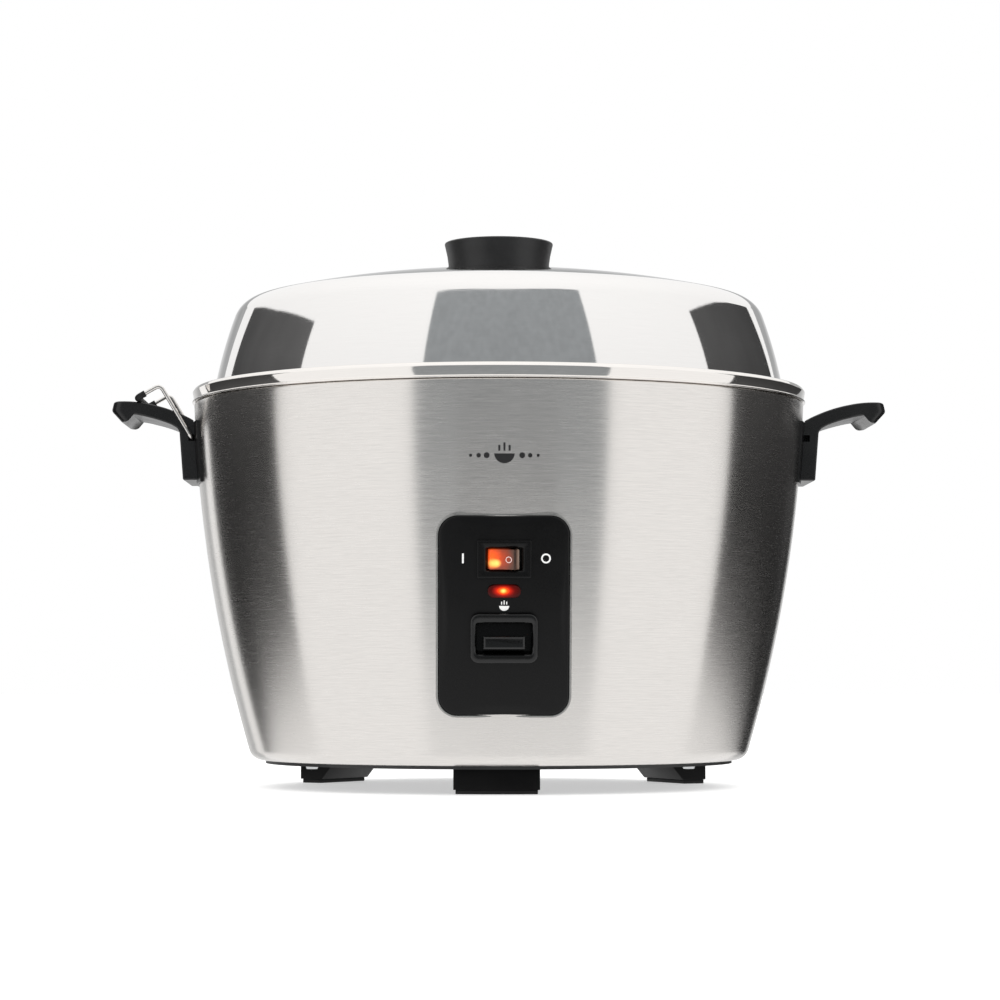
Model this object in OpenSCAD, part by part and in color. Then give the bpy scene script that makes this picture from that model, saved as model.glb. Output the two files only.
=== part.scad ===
// Round steam rice cooker: brushed steel shell, polished lid, two side handles and a lidded inner pot.
// Millimetres, +Z up, the front faces -Y, and the origin is on the table under the middle of the body.

/* [Shell] */
// Outer radius of the shell at its top edge
shell_top_r = 151; // [149:0.5:153]
// Height of the shell's top edge above the table
shell_top_z = 188.2; // [184:0.2:192]
// Outer radius of the shell just above its bottom corner
shell_low_r = 123.7; // [121:0.1:126]
// Radius of the long outward bulge of the shell's side
shell_bulge = 700; // [500:10:900]
// Radius of the shell's bottom corner
shell_corner = 7; // [5:0.5:8]
// Thickness of the pressed sheet steel
sheet = 0.8; // [0.6:0.1:1]

/* [Lid] */
// Height of the top of the lid's crown
lid_top_z = 254; // [250:0.5:258]
// Radius of the crown
lid_crown = 540; // [480:10:600]
// Radius of the lid's shoulder
lid_shoulder = 14; // [10:1:20]
// Radius of the lid's gently curved side
lid_side = 220; // [180:10:260]
// Outer radius of the lid at the rim's height
lid_low_r = 141; // [139:0.5:142]

/* [Knob] */
// Radius of the knob at its top
knob_top_r = 27; // [24:0.5:30]
// Radius of the knob at its foot
knob_foot_r = 25; // [20:0.5:26]
// Height of the knob's top above the table
knob_top_z = 271; // [268:0.5:276]

/* [Handles] */
// Width of each handle along the rim
handle_w = 50; // [46:1:56]
// Distance from the middle to a handle's tip
handle_reach = 190; // [186:1:196]

/* [Control panel] */
// Width of the black panel
panel_w = 59.2; // [54:0.2:62]
// Height of the black panel
panel_h = 89.6; // [84:0.2:92]
// Height of the panel's middle above the table
panel_z = 81.5; // [80:0.5:84]
// Corner radius of the panel
panel_corner = 8.6; // [6:0.2:12]

/* [Pot] */
// Inner radius of the heating pan at its mouth
pan_mouth_r = 131; // [128:0.5:132]
// Inner radius of the heating pan at its floor corner
pan_low_r = 118.5; // [117:0.5:120]
// Height of the pan's floor
pan_floor_z = 48; // [47:0.5:50]
// Outer radius of the inner pot's wall at its mouth
pot_r = 112; // [108:0.5:114]

/* [Motion] */
// Swing of the rocker each side of level, in degrees
rocker_swing = 8.5; // [6:0.5:9]
// Clearance between pieces that move and their seats
clearance = 0.3; // [0.25:0.05:0.4]

/* [Hidden] */
$fn = 64;

// ---- colours
steel = "silver";
polished = "gainsboro";
black = "dimgray";
dark = [0.12, 0.12, 0.13];
brass = "goldenrod";

// ---- outline helpers
function arc(c, r, a0, a1, n) = [for (i = [0:n]) let (a = a0 + (a1 - a0) * i / n) c + r * [cos(a), sin(a)]];
function flip(pts) = [for (i = [len(pts) - 1:-1:0]) pts[i]];
function rounded(w, h, r, n = 6) = concat(
  arc([w / 2 - r, h / 2 - r], r, 0, 90, n), arc([r - w / 2, h / 2 - r], r, 90, 180, n),
  arc([r - w / 2, r - h / 2], r, 180, 270, n), arc([w / 2 - r, r - h / 2], r, 270, 360, n));

// ---- the shell's side is one long arc between its top edge and its bottom corner
shell_low_z = 20;
shell_bottom_z = 13.2;
chord = [shell_top_r - shell_low_r, shell_top_z - shell_low_z];
chord_mid = [shell_top_r + shell_low_r, shell_top_z + shell_low_z] / 2;
bulge_depth = sqrt(pow(shell_bulge, 2) - pow(norm(chord) / 2, 2));
bulge_c = chord_mid + bulge_depth * [-chord[1], chord[0]] / norm(chord);
corner_z = shell_bottom_z + shell_corner;
corner_c = [bulge_c[0] + sqrt(pow(shell_bulge - shell_corner, 2) - pow(corner_z - bulge_c[1], 2)), corner_z];
corner_a = atan2(corner_c[1] - bulge_c[1], corner_c[0] - bulge_c[0]);
top_a = asin((shell_top_z - bulge_c[1]) / shell_bulge);
function shell_r(z) = bulge_c[0] + sqrt(pow(shell_bulge, 2) - pow(z - bulge_c[1], 2));
function shell_lean(z) = -asin((z - bulge_c[1]) / shell_bulge);
function side_arc(grow, z0, z1, n) = [for (i = [0:n]) let (z = z0 + (z1 - z0) * i / n) [shell_r(z) + grow, z]];

// ---- the lid's outline: crown, shoulder and side arcs that run into each other
lid_low_z = 195;
lid_side_a = 10.2;
lid_t = sheet;
crown_c = [0, lid_top_z - lid_crown];
side_c = [lid_low_r - lid_side * cos(lid_side_a), lid_low_z - lid_side * sin(lid_side_a)];
c_gap = side_c - crown_c;
c_r1 = lid_crown - lid_shoulder;
c_r2 = lid_side - lid_shoulder;
c_along = (c_r1 * c_r1 - c_r2 * c_r2 + pow(norm(c_gap), 2)) / (2 * norm(c_gap));
c_across = sqrt(c_r1 * c_r1 - c_along * c_along);
c_dir = c_gap / norm(c_gap);
shoulder_c = crown_c + c_along * c_dir - c_across * [-c_dir[1], c_dir[0]];
crown_a = atan2(shoulder_c[1] - crown_c[1], shoulder_c[0] - crown_c[0]);
side_a = atan2(shoulder_c[1] - side_c[1], shoulder_c[0] - side_c[0]);
lid_edge_z = 188;
lid_edge_a = asin((lid_edge_z - side_c[1]) / lid_side);
function lid_outline(grow) = concat(
  arc(crown_c, lid_crown + grow, 90, crown_a, 10), arc(shoulder_c, lid_shoulder + grow, crown_a, side_a, 8),
  arc(side_c, lid_side + grow, side_a, lid_edge_a, 8));
lid_edge_r = side_c[0] + lid_side * cos(lid_edge_a);
seat_z = 186.7;

// ---- placing pieces on the panel, with -Y pointing out of the shell
panel_proud = 2;
trim_w = 1.2;
trim_proud = 1.6;
rocker_z = 107.1;
lens_z = 92.7;
lever_z = 71.9;
module on_front(z, proud = 0) {
  translate([0, -shell_r(z), z]) rotate([shell_lean(z), 0, 0]) translate([0, -proud, 0]) children();
}
// a slab whose front face is y = 0 and which reaches depth d inwards
module slab(w, h, d, r = 0.6) {
  rotate([-90, 0, 0]) linear_extrude(d) polygon(rounded(w, h, r));
}
module front_block(w, h, r, z) {
  translate([0, -110, z]) rotate([90, 0, 0]) linear_extrude(60) polygon(rounded(w, h, r));
}
// the wall of a ring that follows the shell, between two distances from it
module shell_ring(grow0, grow1, z0, z1, sweep, turn) {
  rotate([0, 0, turn - sweep / 2]) rotate_extrude(angle = sweep)
    polygon(concat(side_arc(grow0, z0, z1, 10), flip(side_arc(grow1, z0, z1, 10))));
}
module around(angles, r) {
  for (a = angles) rotate([0, 0, a]) translate([r, 0, 0]) children();
}

// ---- body
window_w = 50;
window_h = 80;
shell_flange_r = 146.4;
shell_foot_r = 108;
handle_screw_z = [155, 166];
handle_hole_r = 2.1;
bushing_z = 30;
bushing_r = 7;
module outer_shell() {
  inner_top = shell_top_z - sheet;
  color(steel) difference() {
    rotate_extrude() polygon(concat(
      [[shell_flange_r, shell_top_z]],
      arc(bulge_c, shell_bulge, top_a, corner_a, 12), arc(corner_c, shell_corner, corner_a, -90, 6),
      [[shell_foot_r, shell_bottom_z], [shell_foot_r, shell_bottom_z + sheet]],
      flip(arc(corner_c, shell_corner - sheet, corner_a, -90, 6)),
      flip(arc(bulge_c, shell_bulge - sheet, asin((inner_top - bulge_c[1]) / shell_bulge), corner_a, 12)),
      [[shell_flange_r, inner_top]]));
    front_block(window_w, window_h, 5, panel_z);
    for (side = [-1, 1], z = handle_screw_z)
      translate([side * 140, 0, z]) rotate([0, side * 90, 0]) cylinder(r = handle_hole_r, h = 20);
    translate([0, 110, bushing_z]) rotate([-90, 0, 0]) cylinder(r = bushing_r - 1.2, h = 40);
  }
}

band_roll_c = [150.4, 194.1];
band_roll = 1.5;
module rim_band() {
  strip = 0.7;
  color(polished) rotate_extrude() polygon(concat(
    [[149.2, 188.2], [152, 188.2], [152, 188.75], [150.9, 189.6], [150.8, 192.4]],
    arc(band_roll_c, band_roll, -25, 180, 10), [[148.9, 193.2], [148.9 + strip, 193.2]],
    flip(arc(band_roll_c, band_roll - strip, -25, 180, 10)), [[150.1, 192.4], [150.1, 189.3], [149.2, 188.9]]));
}

pan_wall_top = 180;
pan_corner = 14;
pan_wall_a = atan((pan_mouth_r - pan_low_r) / (pan_wall_top - pan_floor_z - pan_corner));
function pan_outline(grow) =
  let (c = [pan_low_r - pan_corner, pan_floor_z + pan_corner], m = [pan_mouth_r + 5.2, pan_wall_top])
  concat([[0, pan_floor_z - grow]], arc(c, pan_corner + grow, -90, -pan_wall_a, 6),
    arc(m, 5.2 - grow, 180 - pan_wall_a, 90, 4));
module heating_pan() {
  seat_top = seat_z;
  inner = concat(pan_outline(0), [[143, seat_top - 0.6], [145, seat_top], [147.2, 194.4]]);
  outer = concat(pan_outline(sheet), [[143, seat_top - 0.6 - sheet], [145.8, seat_top - sheet], [148, 194.4]]);
  color(steel) rotate_extrude() polygon(concat(inner, flip(outer)));
}

base_r = 115;
base_t = 1.6;
base_z = shell_bottom_z - base_t;
foot_angles = [-91.5, 26, 146];
foot_mid_r = 101;
base_screw_angles = [90, -30, 210];
base_screw_r = 104;
module vent_slot(r0, r1, w) {
  translate([r0, -w / 2, -1]) cube([r1 - r0, w, base_t + 2]);
  for (r = [r0, r1]) translate([r, 0, -1]) cylinder(r = w / 2, h = base_t + 2);
}
module base_cover() {
  color(black) translate([0, 0, base_z]) difference() {
    union() {
      cylinder(r = base_r, h = base_t);
      difference() {
        cylinder(r = shell_foot_r - 0.4, h = 5);
        translate([0, 0, -1]) cylinder(r = shell_foot_r - 2, h = 8);
      }
    }
    for (a = [15:30:345]) rotate([0, 0, a]) {
      vent_slot(32, 52, 3.6);
      vent_slot(62, 84, 3.6);
    }
    around(base_screw_angles, base_screw_r) translate([0, 0, -1]) cylinder(r = 1.8, h = 8);
    around(foot_angles, foot_mid_r) translate([0, 0, -1]) cylinder(r = 1.8, h = 8);
  }
}

foot_w = 40;
foot_out_r = 109;
foot_in_r = 94;
pad_t = 2;
// a block with an upright outer face and an inner face that slopes in as it rises
module foot(a) {
  rise = base_z - pad_t;
  color(dark) rotate([0, 0, a]) difference() {
    intersection() {
      rotate([90, 0, 0]) translate([0, 0, -foot_w / 2]) linear_extrude(foot_w)
        polygon([[foot_in_r, pad_t], [foot_out_r + 4, pad_t], [foot_out_r + 4, base_z],
          [foot_in_r - rise * 0.9, base_z]]);
      translate([0, 0, pad_t]) cylinder(r = foot_out_r, h = rise);
    }
    translate([foot_mid_r, 0, pad_t - 1]) cylinder(r = 4.2, h = 5);
    translate([foot_mid_r, 0, pad_t]) cylinder(r = 1.8, h = rise + 1);
  }
}
module front_foot() { foot(foot_angles[0]); }
module rear_foot_right() { foot(foot_angles[1]); }
module rear_foot_left() { foot(foot_angles[2]); }
module foot_pads() {
  color("black") around(foot_angles, 0) difference() {
    intersection() {
      translate([foot_in_r + 1, 1 - foot_w / 2, 0]) cube([20, foot_w - 2, pad_t]);
      cylinder(r = foot_out_r - 0.8, h = pad_t);
    }
    translate([foot_mid_r, 0, -1]) cylinder(r = 4.2, h = 6);
  }
}
// a pan-head screw with a cross recess, head down, its shank starting at the origin
module screw(shank_r, shank_h, head_r, head_h) {
  difference() {
    union() {
      translate([0, 0, -head_h]) cylinder(r1 = head_r * 0.8, r2 = head_r, h = head_h);
      cylinder(r = shank_r, h = shank_h);
    }
    for (turn = [0, 90]) rotate([0, 0, turn]) translate([-head_r * 0.55, -0.35, -head_h - 0.1])
      cube([head_r * 1.1, 0.7, head_h * 0.6]);
  }
}
module foot_screws() {
  color(steel) around(foot_angles, foot_mid_r) translate([0, 0, pad_t + 4]) screw(1.7, 13, 3.4, 2);
}
module base_screws() {
  color(steel) around(base_screw_angles, base_screw_r) translate([0, 0, base_z]) screw(1.7, 6, 3.2, 1.6);
}

// ---- handles: an upright leg against the shell and an arm that ends in a down-turned lip
spacer_t = 1.2;
arm_top_r = 72;
arm_under_r = 78;
leg_bottom_z = 149.9;
pivot_x = 150.6;
pivot_z = 170.6;
pocket_depth = 8;
pin_bore_r = 1.25;
pin_bore_y = 13.5;
// the two holes that the lid stand's ends turn in
module pin_bores() {
  translate([pivot_x, pin_bore_y, pivot_z]) rotate([-90, 0, 0]) cylinder(r = pin_bore_r, h = 8);
  translate([pivot_x, -pin_bore_y, pivot_z]) rotate([90, 0, 0]) cylinder(r = pin_bore_r, h = 8);
}
function arc_through(p, q, r, n) =
  let (m = (p + q) / 2, d = q - p, s = sqrt(r * r - pow(norm(d) / 2, 2)), c = m + s * [-d[1], d[0]] / norm(d),
    a0 = atan2(p[1] - c[1], p[0] - c[0]), a1 = atan2(q[1] - c[1], q[0] - c[0]))
  arc(c, r, a0, a1, n);
reach = handle_reach;
handle_outline = concat(
  [[143, leg_bottom_z], [154.4, leg_bottom_z], [154.9, leg_bottom_z + 0.5]],
  arc([160.6, 172.4], 4, 180, 118, 4),
  flip(arc_through([reach - 9.8, 182.1], [160.6, 177], arm_under_r, 6)),
  arc([reach - 5.2, 179.2], 0.8, 225, 315, 3),
  arc([reach - 1.9, 184.4], 1.9, -45, 15, 3),
  arc([reach - 2.1, 187], 1.5, 10, 80, 3),
  arc_through([reach - 2.6, 188.5], [148, 178.2], arm_top_r, 8));
module handle() {
  difference() {
    intersection() {
      translate([0, handle_w / 2, 0]) rotate([90, 0, 0]) linear_extrude(handle_w) polygon(handle_outline);
      translate([165, 0, 140]) linear_extrude(60) polygon(rounded(50.2, handle_w, 5));
    }
    rotate_extrude() polygon(concat([[120, 145]], side_arc(spacer_t + 0.1, 145, 187, 8), [[120, 187]]));
    pin_bores();
    for (side = [-1, 1]) translate([147, side * (handle_w / 2 - pocket_depth / 2 + 0.01), pivot_z])
      cube([10.4, pocket_depth, 3.2], center = true);
    for (z = handle_screw_z) translate([140, 0, z]) rotate([0, 90, 0]) {
      cylinder(r = handle_hole_r, h = 20);
      translate([0, 0, 13.4]) cylinder(r = 4.2, h = 8);
    }
  }
}
module left_handle() { color(dark) mirror([1, 0, 0]) handle(); }
module right_handle() { color(dark) handle(); }
spacer_sweep = 27;
module handle_spacer() {
  difference() {
    shell_ring(0, spacer_t, leg_bottom_z - 1.4, 178.4, spacer_sweep, 0);
    for (side = [-1, 1]) translate([147, side * (handle_w / 2 - pocket_depth / 2 + 0.01), pivot_z])
      cube([12, pocket_depth, 3.2], center = true);
    pin_bores();
    for (z = handle_screw_z) translate([140, 0, z]) rotate([0, 90, 0]) cylinder(r = handle_hole_r, h = 20);
  }
}
module left_handle_spacer() { color(dark) mirror([1, 0, 0]) handle_spacer(); }
module right_handle_spacer() { color(dark) handle_spacer(); }
module handle_screws() {
  color(steel) for (side = [0, 1], z = handle_screw_z) mirror([side, 0, 0])
    translate([153.4, 0, z]) rotate([0, -90, 0]) screw(1.9, 12, 3.8, 1.4);
}
module handle_nuts() {
  color(steel) for (side = [0, 1], z = handle_screw_z) mirror([side, 0, 0])
    translate([143.2, 0, z]) rotate([0, 90, 0]) difference() {
      cylinder(r = 4, h = 3.2, $fn = 6);
      translate([0, 0, -1]) cylinder(r = 1.9, h = 6);
    }
}

// ---- swept wires and leads
function unit(v) = v / norm(v);
function smooth(pts, n) = [for (i = [0:len(pts) - 2], k = [0:n - 1]) let (t = k / n,
    a = pts[max(i - 1, 0)], b = pts[i], c = pts[i + 1], d = pts[min(i + 2, len(pts) - 1)])
    0.5 * (2 * b + (c - a) * t + (2 * a - 5 * b + 4 * c - d) * t * t + (3 * b - a - 3 * c + d) * t * t * t),
  pts[len(pts) - 1]];
// a bent rod's centre line: straight lengths joined by rounded corners
function bent(pts, reach, n = 4) = concat([pts[0]], [for (i = [1:len(pts) - 2], k = [0:n]) let (t = k / n,
    p = pts[i], a = p + reach * unit(pts[i - 1] - p), b = p + reach * unit(pts[i + 1] - p))
    (1 - t) * (1 - t) * a + 2 * t * (1 - t) * p + t * t * b], [pts[len(pts) - 1]]);
function rings(path, r, sides) = [for (i = [0:len(path) - 1]) let (
    t = unit(path[min(i + 1, len(path) - 1)] - path[max(i - 1, 0)]),
    side = unit(cross(t, [0.1, 0.2, 1])), up = cross(side, t))
    for (k = [0:sides - 1]) path[i] + r * (cos(360 * k / sides) * side + sin(360 * k / sides) * up)];
// a round rod along a path, or a tube when it's given a hole
module sweep(path, r, hole = 0, sides = 10) {
  m = len(path);
  h = m * sides;
  e = (m - 1) * sides;
  points = concat(rings(path, r, sides), hole > 0 ? rings(path, hole, sides) : []);
  outside = [for (i = [0:m - 2], k = [0:sides - 1]) let (j = (k + 1) % sides, p = i * sides)
    [p + k, p + sides + k, p + sides + j, p + j]];
  inside = [for (f = outside) [h + f[3], h + f[2], h + f[1], h + f[0]]];
  caps = [[for (k = [0:sides - 1]) k], [for (k = [sides - 1:-1:0]) e + k]];
  rims = [for (k = [0:sides - 1], last = [0, 1]) let (j = (k + 1) % sides)
    last == 0 ? [k, j, h + j, h + k] : [e + j, e + k, h + e + k, h + e + j]];
  polyhedron(points = points, faces = hole > 0 ? concat(outside, inside, rims) : concat(outside, caps));
}

// ---- lid stand: a bent wire whose two ends sit in the left handle's pockets
wire_r = 1;
sleeve_r = 1.6;
leg_y = 27;
stub_y = 14.5;
stand_knee = [-166, 196.3];
stand_end = [-177, 190];
sleeve_start = 0.5;
half_path = [[-pivot_x, stub_y, pivot_z], [-pivot_x, leg_y, pivot_z], [stand_knee[0], leg_y, stand_knee[1]],
  [stand_end[0], leg_y, stand_end[1]]];
function mirrored(pts) = [for (i = [len(pts) - 1:-1:0]) [pts[i][0], -pts[i][1], pts[i][2]]];
bend_reach = 3;
module stand_wire() {
  color(steel) sweep(bent(concat(half_path, mirrored(half_path)), bend_reach), wire_r);
}
module stand_sleeve() {
  start = half_path[2] + (half_path[3] - half_path[2]) * sleeve_start;
  covered = [start, half_path[3]];
  color("black") sweep(bent(concat(covered, mirrored(covered)), bend_reach), sleeve_r, wire_r + 0.15);
}

// ---- control panel
bezel_w = 24.4;
bezel_h = 17.1;
housing_w = 21;
housing_h = 14;
lens_w = 14.9;
lens_h = 5.7;
frame_w = 30.6;
frame_h = 22.7;
opening_w = 24.9;
opening_h = 13.9;
module control_panel() {
  color(dark) difference() {
    intersection() {
      shell_ring(0, panel_proud, panel_z - panel_h / 2 - 2, panel_z + panel_h / 2 + 2, 36, -90);
      front_block(panel_w, panel_h, panel_corner, panel_z);
    }
    on_front(rocker_z, 8) slab(housing_w + 0.2, housing_h + 0.2, 16, 0.5);
    on_front(lens_z, 8) slab(lens_w + 0.1, lens_h + 0.1, 16, 2.6);
    on_front(lever_z, 8) slab(frame_w - 2, frame_h - 2, 16, 2.6);
  }
}
module panel_trim() {
  color(polished) difference() {
    intersection() {
      shell_ring(0, trim_proud, panel_z - panel_h / 2 - 4, panel_z + panel_h / 2 + 4, 36, -90);
      front_block(panel_w + 2 * trim_w, panel_h + 2 * trim_w, panel_corner + trim_w, panel_z);
    }
    front_block(panel_w + 0.02, panel_h + 0.02, panel_corner, panel_z);
  }
}
mark_t = 0.15;
mark_z = 107.2;
cook_mark_z = 86;
// printed signs: a bar for on, a ring for off, and a bowl with steam for cooking
module print_on(z, x, grow) {
  intersection() {
    shell_ring(grow, grow + mark_t, z - 14, z + 14, 30, -90);
    translate([x, -110, z]) rotate([90, 0, 0]) linear_extrude(60) children();
  }
}
module ring_mark(r, w) {
  difference() {
    circle(r = r);
    circle(r = r - w);
  }
}
module bowl_mark(s) {
  intersection() {
    circle(r = 2 * s);
    translate([-2 * s, -2 * s]) square([4 * s, 1.9 * s]);
  }
  for (x = [-1, 0, 1]) translate([x * s - 0.2 * s, 0.45 * s]) square([0.4 * s, (x == 0 ? 1.6 : 1.1) * s]);
}
module panel_marks() {
  color("white") {
    print_on(mark_z, -18.6, panel_proud) {
      square([0.8, 4.4], center = true);
    }
    print_on(mark_z, 18.8, panel_proud) ring_mark(2.2, 0.7);
    print_on(cook_mark_z, 0, panel_proud) bowl_mark(1.15);
  }
}
emblem_z = 154.4;
module shell_emblem() {
  color(dark) print_on(emblem_z, 0, 0) {
    bowl_mark(2.3);
    for (side = [-1, 1], i = [0:2]) translate([side * (8 + 3.6 * i), -1]) circle(r = 1.3 - 0.3 * i);
  }
}

// ---- rocker switch, with its pivot inside the housing and upright along the panel
bezel_proud = panel_proud + 0.9;
housing_d = 14;
rocker_cavity_w = 15.9;
rocker_cavity_h = 10;
pivot_depth = 3.8;
rocker_w = 13.4;
rocker_h = 9;
stub_r = 0.9;
module switch_housing() {
  color("black") on_front(rocker_z, bezel_proud) difference() {
    union() {
      slab(bezel_w, bezel_h, bezel_proud - panel_proud);
      slab(housing_w, housing_h, housing_d, 0.5);
    }
    translate([0, -1, 0]) slab(rocker_cavity_w, rocker_cavity_h, 12.2, 0.5);
    translate([0, pivot_depth, -6]) cylinder(r = stub_r + 0.1, h = 12);
  }
}
module switch_terminals() {
  color(brass) on_front(rocker_z, bezel_proud) for (x = [-6, 0, 6])
    translate([x - 0.4, housing_d, -2.4]) cube([0.8, 3.6, 4.8]);
}
module rocker_button() {
  color("orangered") on_front(rocker_z, bezel_proud - pivot_depth) rotate([0, 0, -rocker_swing]) {
    translate([0, 0, -rocker_h / 2]) linear_extrude(rocker_h)
      polygon(concat([[-rocker_w / 2, -5.4], [0, -4.4], [rocker_w / 2, -5.4]], arc([0, 0.6], 6, -12, 192, 8)));
    translate([0, 0, -5.7]) cylinder(r = stub_r, h = 11.4);
  }
}
module rocker_marks() {
  facet_a = atan(1 / (rocker_w / 2));
  color("white") on_front(rocker_z, bezel_proud - pivot_depth) rotate([0, 0, -rocker_swing])
    for (side = [-1, 1]) translate([side * 3.5, -4.93, 0]) rotate([0, 0, -side * facet_a]) rotate([90, 0, 0])
      linear_extrude(0.12) {
        if (side > 0) ring_mark(1.5, 0.4);
        else square([0.5, 3], center = true);
      }
}
module indicator_lens() {
  color("red") on_front(lens_z, panel_proud + 0.7) slab(lens_w, lens_h, 6, 2.6);
}
module indicator_lamp() {
  color("orange") on_front(lens_z, panel_proud + 0.7) translate([-5, 8, 0]) rotate([0, 90, 0]) {
    cylinder(r = 1.8, h = 10);
    translate([0, 0, 10]) sphere(r = 1.8);
  }
}

// ---- cook lever: a key in a framed recess, on an arm that turns on a pin under the pan
frame_proud = panel_proud + 2.4;
key_w = 18.7;
key_h = 5.7;
key_z = 69.3;
lever_pivot = [0, -72, 34];
frame_d = 8;
arm_w = 8;
module lever_frame() {
  color("black") on_front(lever_z, frame_proud) difference() {
    union() {
      slab(frame_w, frame_h, 2.4, 3.9);
      slab(frame_w - 2.4, frame_h - 2.4, frame_d, 2.4);
    }
    translate([0, -1, 0]) slab(opening_w, opening_h, 14, 1.2);
  }
}
key_front = 143.4;
// a thin strip along y = 0 whose outer corners are cut back
module bevelled(w, bevel) {
  polygon([[-w / 2, 0.1], [bevel - w / 2, -bevel], [w / 2 - bevel, -bevel], [w / 2, 0.1]]);
}
module lever_key() {
  bevel = 0.7;
  color("black") translate([0, -key_front, key_z]) {
    rotate([-90, 0, 0]) linear_extrude(9) square([key_w, key_h], center = true);
    intersection() {
      translate([0, 0, -key_h / 2]) linear_extrude(key_h) bevelled(key_w, bevel);
      rotate([90, 0, 90]) translate([0, 0, -key_w / 2]) linear_extrude(key_w)
        rotate(-90) bevelled(key_h, bevel);
    }
  }
}
// a bent strip in the upright plane through the axis: from the key, down behind the shell, back under the pan
module lever_arm() {
  color(steel) difference() {
    union() {
      translate([-arm_w / 2, 0, 0]) rotate([90, 0, 90]) linear_extrude(arm_w) {
        polygon([[-134.4, 68.5], [-128.8, 68.5], [-127.5, 45.4], [-117.5, 33.2], [-58, 33.2],
          [-58, 34.8], [-116.8, 34.8], [-125.9, 46], [-127.3, 70.1], [-134.4, 70.1]]);
      }
      translate([-arm_w / 2, lever_pivot[1], lever_pivot[2]]) rotate([0, 90, 0]) cylinder(r = 3.2, h = arm_w);
    }
    translate([-arm_w, lever_pivot[1], lever_pivot[2]]) rotate([0, 90, 0]) cylinder(r = 1.55, h = 2 * arm_w);
  }
}
// a thin plate pressed onto the arm behind the key, so that the recess behind it looks closed
module lever_shield() {
  shield_z = 70.4;
  color("black") translate([0, -130.3, 0]) difference() {
    translate([0, 0, shield_z]) slab(27, 22, 1, 2);
    translate([-arm_w / 2 - 0.1, -1, 68.4]) cube([arm_w + 0.2, 3, 1.8]);
  }
}
module lever_pin() {
  color(steel) translate([-8, lever_pivot[1], lever_pivot[2]]) rotate([0, 90, 0]) {
    cylinder(r = 1.5, h = 16);
    for (z = [-0.6, 16]) translate([0, 0, z]) cylinder(r = 2.6, h = 0.6);
  }
}
cheek_x = 5.6;
bracket_t = 1.2;
bracket_z = 27.1;
plate_under_z = 40.2;
block_y = -62;
block_z = bracket_z - 5;
module switch_bracket() {
  color(steel) difference() {
    for (side = [0, 1]) mirror([side, 0, 0]) {
      translate([cheek_x, -82, bracket_z]) cube([bracket_t, 30, plate_under_z - bracket_z]);
      translate([cheek_x, -82, plate_under_z - bracket_t]) cube([13, 16, bracket_t]);
      translate([-0.1, -82, bracket_z]) cube([cheek_x + bracket_t + 0.1, 36, bracket_t]);
    }
    translate([-10, lever_pivot[1], lever_pivot[2]]) rotate([0, 90, 0]) cylinder(r = 1.5, h = 20);
    translate([0, block_y, bracket_z - 1]) cylinder(r = 1.9, h = 4);
  }
}
module contact_block() {
  color("peru") difference() {
    translate([-7, block_y - 6, block_z - 4]) cube([14, 22, 9]);
    translate([0, block_y, block_z - 2]) cylinder(r = 1.6, h = 10);
  }
}
module contact_blades() {
  color(brass) for (x = [-4.6, 2.6]) translate([x, block_y + 16, block_z - 2]) cube([2, 10, 0.5]);
}
plunger_top = 33;
module switch_plunger() {
  color("ivory") translate([0, block_y, block_z + 0.4]) cylinder(r = 1.5, h = plunger_top - block_z - 0.4);
}

// ---- heater
plate_r = 84;
plate_t = 7;
plate_top = pan_floor_z - sheet;
element_r = 60;
stud_angles = [90, 210, 330];
stud_r = 30;
module heating_plate() {
  color("lightgray") translate([0, 0, plate_top - plate_t]) difference() {
    cylinder(r = plate_r, h = plate_t);
    translate([0, 0, -1]) cylinder(r = 12, h = plate_t + 2);
    translate([0, 0, -1]) rotate_extrude() translate([element_r, 0]) square([7, 8], center = true);
    around(stud_angles, stud_r) translate([0, 0, -1]) cylinder(r = 2.1, h = plate_t + 2);
  }
}
module heating_element() {
  tube_r = 3;
  z = plate_top - plate_t - 0.1;
  color("slategray") translate([0, 0, z]) rotate([0, 0, -70]) {
    rotate_extrude(angle = 320) translate([element_r, 0]) circle(r = tube_r);
    for (a = [4, 316]) rotate([0, 0, a]) translate([element_r, 0, -9]) cylinder(r = 2.6, h = 9);
  }
}
module element_terminals() {
  color("white") translate([0, 0, plate_top - plate_t - 14]) for (a = [-66, 246]) rotate([0, 0, a])
    translate([element_r, 0, 0]) {
      cylinder(r = 2.2, h = 4.9);
      translate([0, 0, -3]) cylinder(r = 1, h = 3);
    }
}
module clamp_plate() {
  z = plate_top - plate_t - 5;
  color(steel) translate([0, 0, z]) difference() {
    union() {
      cylinder(r = 40, h = 1.2);
      for (a = stud_angles) rotate([0, 0, a]) translate([0, -6, 0]) cube([54, 12, 1.2]);
      difference() {
        cylinder(r = 24, h = 5);
        translate([0, 0, -1]) cylinder(r = 22.8, h = 7);
      }
    }
    translate([0, 0, -1]) cylinder(r = 14, h = 4);
    around(stud_angles, stud_r) translate([0, 0, -1]) cylinder(r = 2.1, h = 4);
  }
}
stud_low = 29;
module clamp_studs() {
  color(steel) around(stud_angles, stud_r) translate([0, 0, stud_low])
    cylinder(r = 2, h = plate_top - stud_low);
}
module clamp_nuts() {
  color(steel) around(stud_angles, stud_r) translate([0, 0, plate_top - plate_t - 5 - 3]) difference() {
    cylinder(r = 4, h = 3, $fn = 6);
    translate([0, 0, -1]) cylinder(r = 2, h = 5);
  }
}
module thermostat() {
  color("black") {
    translate([0, 0, plate_top - 8]) cylinder(r = 9, h = 8);
    translate([0, 0, plate_top - 17]) cylinder(r = 7, h = 9);
  }
  color(brass) for (x = [-4, 3.2]) translate([x, -2, plate_top - 22]) cube([0.8, 4, 5]);
}
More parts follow.
